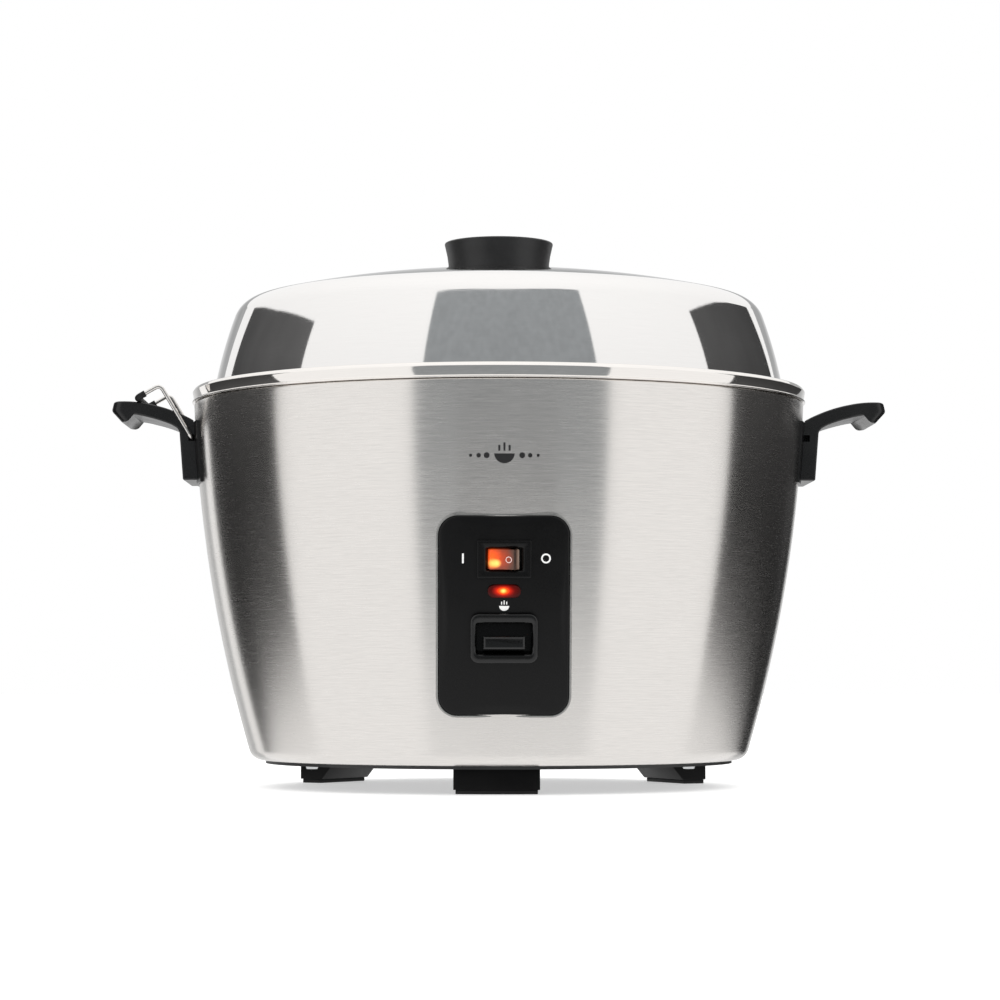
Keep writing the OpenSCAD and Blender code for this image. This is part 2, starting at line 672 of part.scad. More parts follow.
module thermal_fuse() {
  color("white") translate([24, 34, 24]) rotate([0, 90, 30]) {
    cylinder(r = 2.4, h = 16);
    for (z = [-2, 16]) translate([0, 0, z]) cylinder(r = 1, h = 2);
  }
}
// a flat heater band strapped round the pan's wall
module keep_warm_band() {
  z0 = 84;
  z1 = 116;
  function pan_out(z) = pan_low_r + sheet / cos(pan_wall_a)
    + (z - pan_floor_z - pan_corner) * tan(pan_wall_a);
  near = 0.4;
  far = 1.9;
  color("sienna") rotate([0, 0, -60]) rotate_extrude(angle = 300)
    polygon([[pan_out(z0) + near, z0], [pan_out(z1) + near, z1], [pan_out(z1) + far, z1],
      [pan_out(z0) + far, z0]]);
}
block_mid = [0, 94, base_z + base_t];
module terminal_block() {
  color("ivory") translate(block_mid) difference() {
    translate([-15, -7, 0]) cube([30, 14, 12]);
    for (x = [-9, 0, 9]) translate([x, 0, 6]) cylinder(r = 2.4, h = 8);
  }
}
// insulated leads, each swept along a smooth path through its own points
lead_routes = [
  [[-9, 86.8, 19], [-9.5, 83, 19], [-24, 74, 18], [-34, 40, 18], [-40, -6, 19], [-30, -46, 20], [-9, -64, 21]],
  [[0, 86.8, 19], [0.5, 83, 19], [8, 70, 18], [12, 52, 19], [20, 40, 22]],
  [[9, 86.8, 19], [10, 83, 19], [36, 72, 18], [62, 40, 19], [64, -10, 20], [44, -44, 21], [28, -53, 22]],
];
module lead_wires() {
  colors = ["white", "red", "black"];
  for (i = [0:2]) color(colors[i]) sweep(smooth(lead_routes[i], 5), 1.2, 0, 8);
}
module cord_bushing() {
  wall_y = shell_r(bushing_z);
  color("black") translate([0, 0, bushing_z]) rotate([-90, 0, 0]) difference() {
    union() {
      translate([0, 0, wall_y + 2.5]) cylinder(r1 = bushing_r + 1, r2 = bushing_r - 1, h = 7);
      translate([0, 0, wall_y - 8]) cylinder(r = bushing_r - 1.35, h = 12);
      translate([0, 0, wall_y - 8.2]) cylinder(r = bushing_r + 0.6, h = 3);
    }
    translate([0, 0, wall_y - 10]) cylinder(r = 3.6, h = 24);
  }
}

// ---- lid
module lid_dome() {
  bead = arc([lid_edge_r - 0.4, lid_edge_z - 0.75], 1, 40, -220, 10);
  color(polished) difference() {
    rotate_extrude() polygon(concat(lid_outline(0), bead, flip(lid_outline(-lid_t))));
    translate([0, 0, lid_top_z - 6]) cylinder(r = 2.6, h = 10);
  }
}
module knob_washer() {
  color("black") translate([0, 0, lid_top_z]) difference() {
    cylinder(r = 16, h = 1.4);
    translate([0, 0, -1]) cylinder(r = 2.6, h = 4);
  }
}
module lid_knob() {
  foot_z = lid_top_z + 1.4;
  crown = 3;
  crown_r = (knob_top_r * knob_top_r + crown * crown) / (2 * crown);
  edge_z = knob_top_z - crown;
  color(dark) difference() {
    rotate_extrude() polygon(concat([[0, foot_z], [knob_foot_r - 1, foot_z], [knob_foot_r, foot_z + 1]],
      arc([knob_top_r - 1.2, edge_z - 1], 1.2, 0, 70, 4),
      arc([0, knob_top_z - crown_r], crown_r, 90 - asin((knob_top_r - 1.6) / crown_r), 90, 6)));
    translate([0, 0, foot_z - 1]) cylinder(r = 2.1, h = 9);
    difference() {
      translate([0, 0, foot_z - 1]) cylinder(r = 21, h = 8);
      translate([0, 0, foot_z - 2]) cylinder(r = 7, h = 12);
    }
  }
}
module knob_screw() {
  color(steel) translate([0, 0, lid_top_z - lid_t - 0.2]) screw(2, 9, 5, 2);
}

// ---- inner pot and its flat lid
pot_floor_z = pan_floor_z + clearance;
pot_rim_z = 168;
pot_t = 1;
pot_corner = 16;
pot_low_r = pot_r - 4;
pot_wall_a = atan((pot_r - pot_low_r) / (pot_rim_z - pot_floor_z - pot_corner));
function pot_outline(grow) = concat([[0, pot_floor_z - grow]],
  arc([pot_low_r - pot_corner, pot_floor_z + pot_corner], pot_corner + grow, -90, -pot_wall_a, 6));
module inner_pot() {
  flange = 5;
  color(steel) rotate_extrude() {
    polygon(concat(pot_outline(0), [[pot_r, pot_rim_z - pot_t], [pot_r + flange, pot_rim_z - pot_t],
      [pot_r + flange, pot_rim_z], [pot_r - pot_t, pot_rim_z]], flip(pot_outline(-pot_t))));
  }
}
pot_lid_z = pot_rim_z + clearance;
module pot_lid() {
  r = pot_r + 3;
  rise = 9;
  color(polished) difference() {
    translate([0, 0, pot_lid_z]) rotate_extrude()
      polygon([[0, rise - 0.8], [60, rise - 1.6], [r - 12, 3.2], [r - 8, 0], [r, 0], [r, 0.8],
        [r - 7.4, 0.8], [r - 11.4, 4], [60, rise - 0.8], [0, rise]]);
    around([45], 78) translate([0, 0, pot_lid_z]) cylinder(r = 2.2, h = 12);
  }
}
module pot_lid_knob() {
  color(dark) translate([0, 0, pot_lid_z + 9]) rotate_extrude()
    polygon(concat([[0, 0], [9, 0], [7, 4]], arc([10.5, 10], 2.5, -60, 90, 5), [[0, 12.5]]));
}

outer_shell();
rim_band();
heating_pan();
base_cover();
front_foot();
rear_foot_right();
rear_foot_left();
foot_pads();
foot_screws();
base_screws();
left_handle();
right_handle();
left_handle_spacer();
right_handle_spacer();
handle_screws();
handle_nuts();
stand_wire();
stand_sleeve();
control_panel();
panel_trim();
panel_marks();
shell_emblem();
switch_housing();
switch_terminals();
rocker_button();
rocker_marks();
indicator_lens();
indicator_lamp();
lever_frame();
lever_key();
lever_arm();
lever_shield();
lever_pin();
switch_bracket();
contact_block();
contact_blades();
switch_plunger();
heating_plate();
heating_element();
element_terminals();
clamp_plate();
clamp_studs();
clamp_nuts();
thermostat();
thermal_fuse();
keep_warm_band();
terminal_block();
lead_wires();
cord_bushing();
lid_dome();
lid_knob();
knob_washer();
knob_screw();
inner_pot();
pot_lid();
pot_lid_knob();
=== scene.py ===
import math

import bmesh
import bpy
from bpy.props import FloatProperty, FloatVectorProperty, PointerProperty
from mathutils import Matrix, Vector, geometry


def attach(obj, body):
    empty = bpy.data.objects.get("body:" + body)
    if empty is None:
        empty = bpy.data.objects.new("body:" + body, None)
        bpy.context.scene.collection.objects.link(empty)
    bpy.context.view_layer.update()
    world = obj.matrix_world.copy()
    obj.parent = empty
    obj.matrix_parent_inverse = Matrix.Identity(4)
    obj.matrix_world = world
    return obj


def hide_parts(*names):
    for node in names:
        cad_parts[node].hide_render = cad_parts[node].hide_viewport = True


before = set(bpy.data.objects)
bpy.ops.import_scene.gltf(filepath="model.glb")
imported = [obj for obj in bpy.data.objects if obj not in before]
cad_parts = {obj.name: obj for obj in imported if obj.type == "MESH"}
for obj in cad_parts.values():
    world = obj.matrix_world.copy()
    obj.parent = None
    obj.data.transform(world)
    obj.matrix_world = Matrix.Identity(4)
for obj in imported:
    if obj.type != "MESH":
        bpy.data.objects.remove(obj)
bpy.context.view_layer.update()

bl_info = {
    "name": "Steam rice cooker",
    "version": (1, 0, 0),
    "blender": (4, 5, 0),
    "location": "3D View > Sidebar > Cooker",
    "description": "Builds the visible pieces of a round steel steam rice cooker around its CAD frame",
    "category": "Object",
}

MM = 0.001
TURN = 2 * math.pi
QUARTER_TURN = 0.25

# ---------------------------------------------------------------- outlines, in millimetres


def arc(cx, cz, r, start, end, count):
    """Points on a circle between two angles in degrees."""
    angles = [math.radians(start + (end - start) * i / count) for i in range(count + 1)]
    return [(cx + r * math.cos(a), cz + r * math.sin(a)) for a in angles]


def rounded_rect(w, h, r, count=8):
    """A rectangle with round corners, anticlockwise from the right side."""
    r = max(r, 0.01)
    x, z = w / 2 - r, h / 2 - r
    return (arc(x, z, r, 0, 90, count) + arc(-x, z, r, 90, 180, count)
            + arc(-x, -z, r, 180, 270, count) + arc(x, -z, r, 270, 360, count))


def shrink(outline, depth):
    """A closed anticlockwise outline moved inwards by a small depth."""
    count = len(outline)
    moved = []
    for i, (x, y) in enumerate(outline):
        ax, ay = outline[i - 1]
        bx, by = outline[(i + 1) % count]
        tx, ty = bx - ax, by - ay
        size = math.hypot(tx, ty) or 1
        moved.append((x - depth * ty / size, y + depth * tx / size))
    return moved


def dense(points, gap):
    """A closed outline with points no further apart than the gap."""
    out = []
    for (ax, ay), (bx, by) in zip(points, points[1:] + points[:1]):
        steps = max(1, math.ceil(math.hypot(bx - ax, by - ay) / gap))
        out += [(ax + (bx - ax) * k / steps, ay + (by - ay) * k / steps) for k in range(steps)]
    return out


# ---------------------------------------------------------------- the shell's long side curve

SHELL_TOP = (151.0, 188.2)  # radius and height of the top edge
SHELL_LOW = (123.7, 20.0)  # radius and height just above the bottom corner
SHELL_BULGE = 700.0
SHELL_CORNER = 7.0
SHELL_FOOT_Z = 13.2
SHEET = 0.8


def bulge_centre():
    """The middle of the long arc through the shell's top edge and bottom corner."""
    dx, dz = SHELL_TOP[0] - SHELL_LOW[0], SHELL_TOP[1] - SHELL_LOW[1]
    span = math.hypot(dx, dz)
    back = math.sqrt(SHELL_BULGE ** 2 - (span / 2) ** 2)
    mid = ((SHELL_TOP[0] + SHELL_LOW[0]) / 2, (SHELL_TOP[1] + SHELL_LOW[1]) / 2)
    return mid[0] - back * dz / span, mid[1] + back * dx / span


BULGE_C = bulge_centre()


def shell_r(z):
    """The shell's outer radius at a height."""
    return BULGE_C[0] + math.sqrt(SHELL_BULGE ** 2 - (z - BULGE_C[1]) ** 2)


def on_shell(x, z, proud):
    """The point in front of the shell at a sideways place and height, proud of its surface."""
    r = shell_r(z) + proud
    return x, -math.sqrt(r * r - x * x), z


def front_frame(z, proud):
    """Maps a control's own coordinates, with -Y pointing out of the shell, into the cooker's."""
    lean = -math.asin((z - BULGE_C[1]) / SHELL_BULGE)
    return (Matrix.Translation((0, -shell_r(z), z)) @ Matrix.Rotation(lean, 4, "X")
            @ Matrix.Translation((0, -proud, 0)))


# ---------------------------------------------------------------- meshes


def piece(name, body, material, verts, faces, replaces=(), sharp=32, place=None):
    """A mesh piece in millimetres that rides on a body and may stand for CAD nodes."""
    mesh = bpy.data.meshes.new(name)
    at = place or Matrix.Identity(4)
    mesh.from_pydata([(at @ Vector(v)) * MM for v in verts], [], faces)
    finish_mesh(mesh, sharp)
    return place_piece(name, mesh, body, material, replaces)


def finish_mesh(mesh, sharp):
    """Turns every face outwards and shades the mesh smooth between its sharp edges."""
    work = bmesh.new()
    work.from_mesh(mesh)
    bmesh.ops.remove_doubles(work, verts=work.verts, dist=1e-7)
    ngons = [f for f in work.faces if len(f.verts) > 4]
    bmesh.ops.triangulate(work, faces=ngons, ngon_method="EAR_CLIP")
    bmesh.ops.recalc_face_normals(work, faces=work.faces)
    work.to_mesh(mesh)
    work.free()
    mesh.shade_smooth()
    mesh.set_sharp_from_angle(angle=math.radians(sharp))


def place_piece(name, mesh, body, material, replaces=()):
    """Links a mesh as a piece with its material, hangs it on its body and hides the CAD nodes that it stands
    for.
    """
    obj = bpy.data.objects.new(name, mesh)
    bpy.context.scene.collection.objects.link(obj)
    mesh.materials.clear()
    mesh.materials.append(material)
    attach(obj, body)
    if replaces:
        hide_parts(*replaces)
    return obj


def revolve(profile, steps):
    """Vertices and faces of a closed profile of (radius, height) turned round the upright axis."""
    verts, rows = [], []
    for r, z in profile:
        if r < 1e-6:
            rows.append([len(verts)] * steps)
            verts.append((0, 0, z))
        else:
            rows.append(list(range(len(verts), len(verts) + steps)))
            verts += [(r * math.sin(TURN * j / steps), -r * math.cos(TURN * j / steps), z)
                      for j in range(steps)]
    faces = []
    for low, high in zip(rows, rows[1:] + rows[:1]):
        for j in range(steps):
            k = (j + 1) % steps
            loop = []
            for corner in (low[j], low[k], high[k], high[j]):
                if corner not in loop:
                    loop.append(corner)
            if len(loop) > 2:
                faces.append(loop)
    return verts, faces


def loft(rings, first_cap=True, last_cap=True):
    """Vertices and faces of a skin through rings with the same number of points."""
    count = len(rings[0])
    verts = [v for ring in rings for v in ring]
    faces = []
    for i in range(len(rings) - 1):
        for j in range(count):
            k = (j + 1) % count
            faces.append([i * count + j, i * count + k, (i + 1) * count + k, (i + 1) * count + j])
    if first_cap:
        faces.append(list(range(count - 1, -1, -1)))
    if last_cap:
        faces.append(list(range((len(rings) - 1) * count, len(rings) * count)))
    return verts, faces


def joined(*parts):
    """Several vertex and face lists as one."""
    verts, faces = [], []
    for v, f in parts:
        base = len(verts)
        verts += v
        faces += [[i + base for i in face] for face in f]
    return verts, faces


def rect_rings(steps, count=8):
    """Rings of rounded rectangles: each step is (width, height, corner radius, depth)."""
    return [[(x, d, z) for x, z in rounded_rect(w, h, r, count)] for w, h, r, d in steps]


def tube(path, r, sides=18):
    """A round rod along a path of points."""
    points = [Vector(p) for p in path]
    rings = []
    side = None
    for i, p in enumerate(points):
        along = (points[min(i + 1, len(points) - 1)] - points[max(i - 1, 0)]).normalized()
        if side is None:
            side = along.orthogonal().normalized()
        side = (side - along * side.dot(along)).normalized()
        up = along.cross(side)
        rings.append([p + r * (math.cos(TURN * k / sides) * side + math.sin(TURN * k / sides) * up)
                      for k in range(sides)])
    return loft(rings)


def bent(points, reach, count=10):
    """A path of straight lengths joined by rounded corners."""
    points = [Vector(p) for p in points]
    path = [points[0]]
    for i in range(1, len(points) - 1):
        p = points[i]
        a = p + (points[i - 1] - p).normalized() * reach
        b = p + (points[i + 1] - p).normalized() * reach
        steps = [k / count for k in range(count + 1)]
        path += [a * (1 - t) ** 2 + 2 * p * t * (1 - t) + b * t * t for t in steps]
    return path + [points[-1]]


def inside(point, loop):
    """True if a point lies inside a closed loop."""
    x, y = point
    hit = False
    for (ax, ay), (bx, by) in zip(loop, loop[1:] + loop[:1]):
        if (ay > y) != (by > y) and x < (bx - ax) * (y - ay) / (by - ay) + ax:
            hit = not hit
    return hit


def filled(outer, holes, gap):
    """Points and triangles of an evenly meshed flat area with holes."""
    points = list(outer)
    edges = [(i, (i + 1) % len(outer)) for i in range(len(outer))]
    for hole in holes:
        base = len(points)
        points += hole
        edges += [(base + i, base + (i + 1) % len(hole)) for i in range(len(hole))]
    margin = gap * 0.45
    grown = [shrink(hole, -margin) for hole in holes]
    core = shrink(outer, margin)
    xs = [p[0] for p in outer]
    ys = [p[1] for p in outer]
    x = min(xs)
    while x < max(xs):
        y = min(ys)
        while y < max(ys):
            if inside((x, y), core) and not any(inside((x, y), h) for h in grown):
                points.append((x, y))
            y += gap
        x += gap
    coords, _, tris, *_ = geometry.delaunay_2d_cdt([Vector(p) for p in points], edges, [], 0, 1e-6)
    keep = []
    for t in tris:
        mid = tuple(sum(coords[i][k] for i in t) / 3 for k in (0, 1))
        if inside(mid, list(outer)) and not any(inside(mid, list(h)) for h in holes):
            keep.append(list(t))
    return [tuple(c) for c in coords], keep


def softened(node, name, body, material, width):
    """A copy of a CAD node with its sharp edges rounded, standing for it."""
    sharp = 40
    mesh = bpy.data.meshes.new(name)
    work = bmesh.new()
    work.from_mesh(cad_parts[node].data)
    bmesh.ops.remove_doubles(work, verts=work.verts, dist=1e-6)
    bmesh.ops.dissolve_limit(work, angle_limit=math.radians(1), verts=work.verts, edges=work.edges)
    edges = [e for e in work.edges
             if len(e.link_faces) == 2 and e.calc_face_angle(0) > math.radians(sharp)]
    bmesh.ops.bevel(work, geom=edges, offset=width * MM, segments=3, profile=0.5, affect="EDGES",
                    clamp_overlap=True)
    bmesh.ops.triangulate(work, faces=[f for f in work.faces if len(f.verts) > 4])
    work.to_mesh(mesh)
    work.free()
    finish_mesh(mesh, sharp)
    return place_piece(name, mesh, body, material, (node,))


# ---------------------------------------------------------------- materials


def new_material(name):
    """An empty node material and its surface shader."""
    material = bpy.data.materials.new(name)
    material.use_nodes = True
    tree = material.node_tree
    return material, tree, tree.nodes["Principled BSDF"]


def add(tree, kind, settings=None, **inputs):
    """Adds a node, sets its options, and sets or links its inputs, given by name or as i and a number."""
    made = tree.nodes.new(kind)
    for key, value in (settings or {}).items():
        setattr(made, key, value)
    for key, value in inputs.items():
        by_number = key[0] == "i" and key[1:].isdigit()
        socket = made.inputs[int(key[1:]) if by_number else key.replace("_", " ")]
        if isinstance(value, bpy.types.NodeSocket):
            tree.links.new(value, socket)
        else:
            socket.default_value = value
    return made


def math_node(tree, operation, a, b=0.0, c=0.0):
    """The output of a Math node."""
    return add(tree, "ShaderNodeMath", {"operation": operation}, i0=a, i1=b, i2=c).outputs[0]


def length_of(tree, vector):
    """The length of a vector."""
    return add(tree, "ShaderNodeVectorMath", {"operation": "LENGTH"}, i0=vector).outputs["Value"]


def object_space(tree):
    """The piece's own coordinates."""
    return add(tree, "ShaderNodeTexCoord").outputs["Object"]


def roughen(tree, shader, height, strength, distance):
    """Gives a surface its fine relief."""
    bump = add(tree, "ShaderNodeBump", None, Height=height, Strength=strength, Distance=distance)
    tree.links.new(bump.outputs[0], shader.inputs["Normal"])


def noise(tree, vector, scale, detail=3.0, roughness=0.55):
    """The value of a Noise node."""
    return add(tree, "ShaderNodeTexNoise", None, Vector=vector, Scale=scale, Detail=detail,
               Roughness=roughness).outputs[0]


def spread(tree, value, low, high, start=0.3, end=0.7, curve="LINEAR"):
    """Maps the values from start to end onto those from low to high."""
    made = add(tree, "ShaderNodeMapRange", {"interpolation_type": curve}, Value=value)
    for key, limit in (("From Min", start), ("From Max", end), ("To Min", low), ("To Max", high)):
        made.inputs[key].default_value = limit
    return made.outputs[0]


def blend_colour(tree, factor, a, b):
    """A colour between two others."""
    made = add(tree, "ShaderNodeMix", {"data_type": "RGBA"})
    tree.links.new(factor, made.inputs[0])
    for socket, value in ((made.inputs[6], a), (made.inputs[7], b)):
        if isinstance(value, bpy.types.NodeSocket):
            tree.links.new(value, socket)
        else:
            socket.default_value = value
    return made.outputs[2]


def shade(colour, factor):
    """A colour made lighter or darker, with alpha."""
    return tuple(min(1.0, c * factor) for c in colour[:3]) + (1.0,)


def around_and_along(tree, around, along, sign):
    """A texture space whose first axis runs round the cooker and whose second runs up its profile."""
    coord = object_space(tree)
    apart = add(tree, "ShaderNodeSeparateXYZ", None, Vector=coord)
    x, y, z = apart.outputs
    angle = math_node(tree, "ARCTAN2", x, math_node(tree, "MULTIPLY", y, -1.0))
    flat = add(tree, "ShaderNodeCombineXYZ", None, X=x, Y=y)
    radius = length_of(tree, flat.outputs[0])
    height = math_node(tree, "MULTIPLY_ADD", radius, sign, z)
    spin = math_node(tree, "MULTIPLY", angle, around)
    climb = math_node(tree, "MULTIPLY", height, along)
    return add(tree, "ShaderNodeCombineXYZ", None, X=spin, Y=climb).outputs[0], coord


def turned_steel(name, colour, roughness, grain, around, along, sign=1.0, anisotropy=0.0, lines=0.1,
                 smudge=0.02):
    """Sheet steel with fine lines that run round it, from a brushed to a mirror finish.

    Around and along give the lines' fineness; the sign is -1 where the profile runs outwards and down.
    """
    material, tree, shader = new_material(name)
    space, coord = around_and_along(tree, around, along, sign)
    coarse = noise(tree, space, 1.0, 4.0, 0.65)
    fine = noise(tree, space, 3.1, 2.0, 0.5)
    both = math_node(tree, "MULTIPLY_ADD", fine, 0.5, math_node(tree, "MULTIPLY", coarse, 0.5))
    cloud = noise(tree, coord, 26.0, 3.0)
    tint = blend_colour(tree, spread(tree, both, 0.0, 1.0, 0.36, 0.64), shade(colour, 1 - lines),
                        shade(colour, 1 + lines * 0.6))
    tree.links.new(tint, shader.inputs["Base Color"])
    worn = math_node(tree, "MULTIPLY_ADD", spread(tree, cloud, -1.0, 1.0), smudge,
                     spread(tree, both, roughness - grain, roughness + grain, 0.35, 0.65))
    tree.links.new(worn, shader.inputs["Roughness"])
    shader.inputs["Metallic"].default_value = 1.0
    if anisotropy:
        shader.inputs["Anisotropic"].default_value = anisotropy
        shader.inputs["Anisotropic Rotation"].default_value = QUARTER_TURN
        tangent = add(tree, "ShaderNodeTangent", {"direction_type": "RADIAL", "axis": "Z"})
        tree.links.new(tangent.outputs[0], shader.inputs["Tangent"])
    roughen(tree, shader, both, 0.18, 0.00001 + 0.0002 * grain)
    return material


def moulded(name, colour, roughness, grain_scale=2600.0, grain_depth=0.00003, coat=0.0, variation=0.25,
            shine=0.5):
    """Moulded plastic, phenolic, rubber or enamel with a fine cast grain and slight unevenness."""
    material, tree, shader = new_material(name)
    coord = object_space(tree)
    grain = noise(tree, coord, grain_scale, 2.0)
    cloud = noise(tree, coord, 45.0, 4.0)
    specks = noise(tree, coord, 900.0, 1.0)
    tint = blend_colour(tree, spread(tree, cloud, 0.0, 1.0), shade(colour, 1 - variation),
                        shade(colour, 1 + variation))
    tint = blend_colour(tree, spread(tree, specks, 0.0, 0.25, 0.6, 0.8), tint, shade(colour, 1.8))
    tree.links.new(tint, shader.inputs["Base Color"])
    worn = math_node(tree, "MULTIPLY_ADD", spread(tree, grain, -1.0, 1.0), 0.05,
                     spread(tree, cloud, roughness - 0.03, roughness + 0.04))
    tree.links.new(worn, shader.inputs["Roughness"])
    shader.inputs["Specular IOR Level"].default_value = shine
    if coat:
        shader.inputs["Coat Weight"].default_value = coat
        shader.inputs["Coat Roughness"].default_value = 0.12
    roughen(tree, shader, grain, 0.3, grain_depth)
    return material


def plain_metal(name, colour, roughness, scale=420.0, depth=0.00002):
    """Plated, cast or drawn metal with a slightly mottled surface."""
    material, tree, shader = new_material(name)
    coord = object_space(tree)
    mottle = noise(tree, coord, scale, 4.0, 0.6)
    blotch = noise(tree, coord, 60.0, 3.0)
    tint = blend_colour(tree, spread(tree, mottle, 0.0, 1.0), shade(colour, 0.86), shade(colour, 1.08))
    tint = blend_colour(tree, spread(tree, blotch, 0.0, 0.4), tint, shade(colour, 0.78))
    tree.links.new(tint, shader.inputs["Base Color"])
    tree.links.new(spread(tree, mottle, roughness - 0.06, roughness + 0.08), shader.inputs["Roughness"])
    shader.inputs["Metallic"].default_value = 1.0
    roughen(tree, shader, mottle, 0.3, depth)
    return material


def glow_spot(tree, coord, centre, half):
    """How near a point is to a spot: 1 at its centre and 0 at the edge of an ellipsoid of half sizes."""
    moved = add(tree, "ShaderNodeVectorMath", {"operation": "SUBTRACT"}, i0=coord, i1=centre).outputs[0]
    scaled = add(tree, "ShaderNodeVectorMath", {"operation": "DIVIDE"}, i0=moved, i1=half).outputs[0]
    length = length_of(tree, scaled)
    return spread(tree, length, 1.0, 0.0, 0.0, 1.0, "SMOOTHSTEP")


def lit_plastic(name, dull, spots, strength, shine=0.35):
    """Translucent plastic lit from behind, plus any painted highlight: each spot is a glow given as (centre mm,
    half sizes mm, colour).
    """
    material, tree, shader = new_material(name)
    coord = object_space(tree)
    ripple = noise(tree, coord, 700.0, 2.0)
    glow = (0.0, 0.0, 0.0, 1.0)
    surface = shade(dull, 1.0)
    for centre, half, colour in spots:
        near = glow_spot(tree, coord, [c * MM for c in centre], [h * MM for h in half])
        near = math_node(tree, "MULTIPLY", near, spread(tree, ripple, 0.8, 1.0))
        glow = blend_colour(tree, near, glow, shade(colour, 1.0))
        surface = blend_colour(tree, near, surface, shade(colour, 0.8))
    tree.links.new(surface, shader.inputs["Base Color"])
    tree.links.new(glow, shader.inputs["Emission Color"])
    tree.links.new(spread(tree, ripple, 0.18, 0.28), shader.inputs["Roughness"])
    shader.inputs["Emission Strength"].default_value = strength
    shader.inputs["Specular IOR Level"].default_value = shine
    roughen(tree, shader, ripple, 0.15, 0.00003)
    return material


# Where the lit plastics glow, with a painted highlight on the rocker: each spot is (centre mm, half sizes mm,
# colour), later ones over earlier ones.
BULB_SPOTS = (((0, -137, 92.7), (9, 12, 6), (1.0, 0.5, 0.12)),)
ROCKER_SPOTS = (
    ((-1.2, -147, 107.1), (6.2, 9, 8.5), (0.3, 0.04, 0.015)),
    ((-5.9, -147, 107.4), (6.0, 9, 7.5), (0.85, 0.085, 0.008)),
    ((-5.2, -147, 104.9), (3.6, 9, 2.7), (1.0, 0.47, 0.1)),
    ((-3.4, -147, 104.9), (2.6, 9, 2.4), (1.0, 0.5, 0.11)),
    # Painted highlight: a warm grey glow on the rocker's right end, which the lamp behind doesn't give; the
    # next spot is a thin near-black strip with no glow just left of it.
    ((7.2, -147, 107.1), (2.4, 9, 14), (0.2, 0.15, 0.12)),
    ((4.75, -147, 107.1), (1.0, 9, 14), (0.004, 0.002, 0.001)),
)
LENS_SPOTS = (
    ((0, -141, 92.7), (8.4, 12, 4.4), (0.2, 0.002, 0.001)),
    ((-0.4, -141, 92.6), (5.6, 12, 3.0), (0.85, 0.02, 0.002)),
    ((-0.4, -141, 92.6), (3.4, 12, 2.1), (1.0, 0.17, 0.01)),
    ((-0.4, -141, 92.6), (1.9, 12, 1.4), (1.0, 0.6, 0.12)),
)


